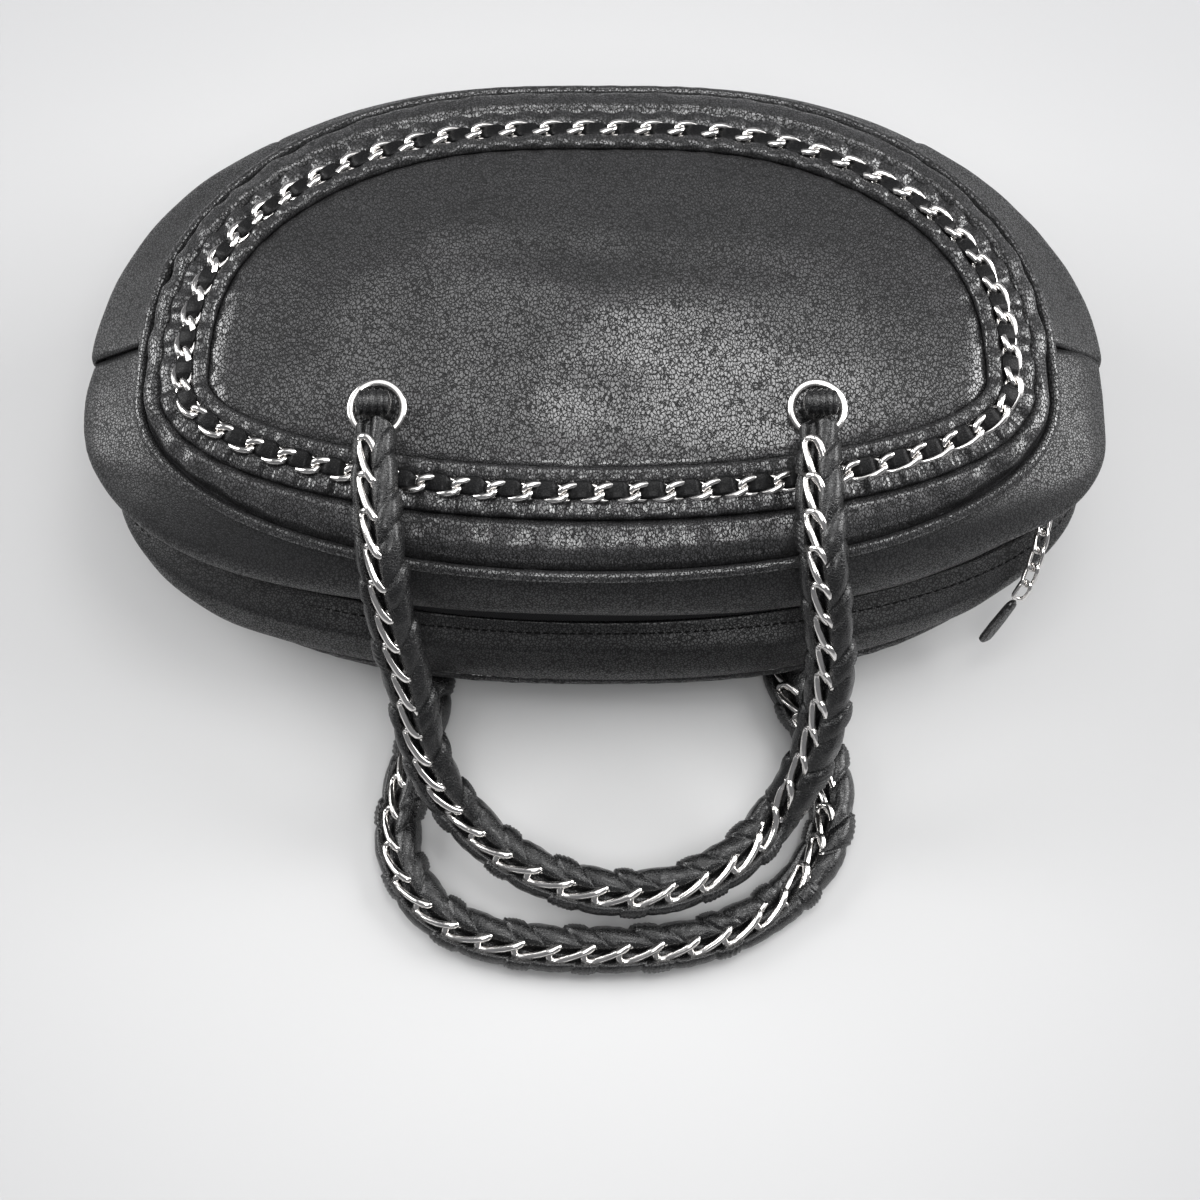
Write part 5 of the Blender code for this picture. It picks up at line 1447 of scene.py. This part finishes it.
# %% [markdown]
# ## The studio
#
# The photograph has a plain pale ground and soft light. The leather's grey
# sheen on everything that faces up, and its near-black sides, come from a
# broad soft light overhead. A smaller one stands where the panel mirrors it to
# the camera as glints, and one in front where the sloping band does. Two more,
# one on each side, fill in the bag's ends.

# %% Floor, sky and lights


def make_floor():
    """A wide pale ground with a painted pool of light: its colour is brightest under the bag, as a disc of
    light would leave it.
    """
    size = 6.0
    grid = np.array([[[-size, -size, 0], [-size, size, 0]], [[size, -size, 0], [size, size, 0]]], float)
    quads, _, _ = grid_quads(1, 2, 2, False, False)
    made, shader, place, _ = finish("pale_ground", Roughness=0.9, Specular_IOR_Level=0.1)
    # Painted pool of light: the ground's colour is lighter near a point under the bag and darker further
    # from it.
    away = place.moved((0.02, 0.12, 0.0))
    away = away.node("ShaderNodeVectorMath", {"operation": "LENGTH"}, output=1, i0=away)
    shade = away.limited(0.05, 0.50)
    drive(shader, Base_Color=shade.mixed((0.57, 0.57, 0.57, 1), (0.40, 0.40, 0.405, 1)))
    floor = add_piece("pale_floor", grid.reshape(-1, 3), quads, made)


def soft_light(name, place, size, watts):
    """A square area light that faces the bag's middle."""
    light = bpy.data.lights.new(name, "AREA")
    light.shape, light.size, light.energy = "SQUARE", size, watts
    lamp = bpy.data.objects.new(name, light)
    lamp.location = place
    lamp.rotation_mode = "QUATERNION"
    lamp.rotation_quaternion = (Vector(BAG_MIDDLE) - Vector(place)).to_track_quat("-Z", "Y")
    bpy.context.collection.objects.link(lamp)


make_floor()
BAG_MIDDLE = (0.0, -0.05, 0.06)
soft_light("overhead", (0.15, 0.30, 2.00), size=2.2, watts=20)
soft_light("key", (0.30, 0.30, 1.95), size=0.7, watts=7.5)
soft_light("front_fill", (0.10, -1.10, 2.00), size=0.7, watts=11)
soft_light("left_fill", (-1.6, 0.45, 0.9), size=1.2, watts=33)
soft_light("right_fill", (1.6, 0.35, 0.9), size=1.2, watts=38)
world = bpy.data.worlds.new("studio")
world.use_nodes = True
sky = world.node_tree.nodes["Background"]
sky.inputs["Color"].default_value = (0.95, 0.96, 1.0, 1)
sky.inputs["Strength"].default_value = 0.20
bpy.context.scene.view_settings.view_transform = "Standard"
bpy.context.scene.world = world
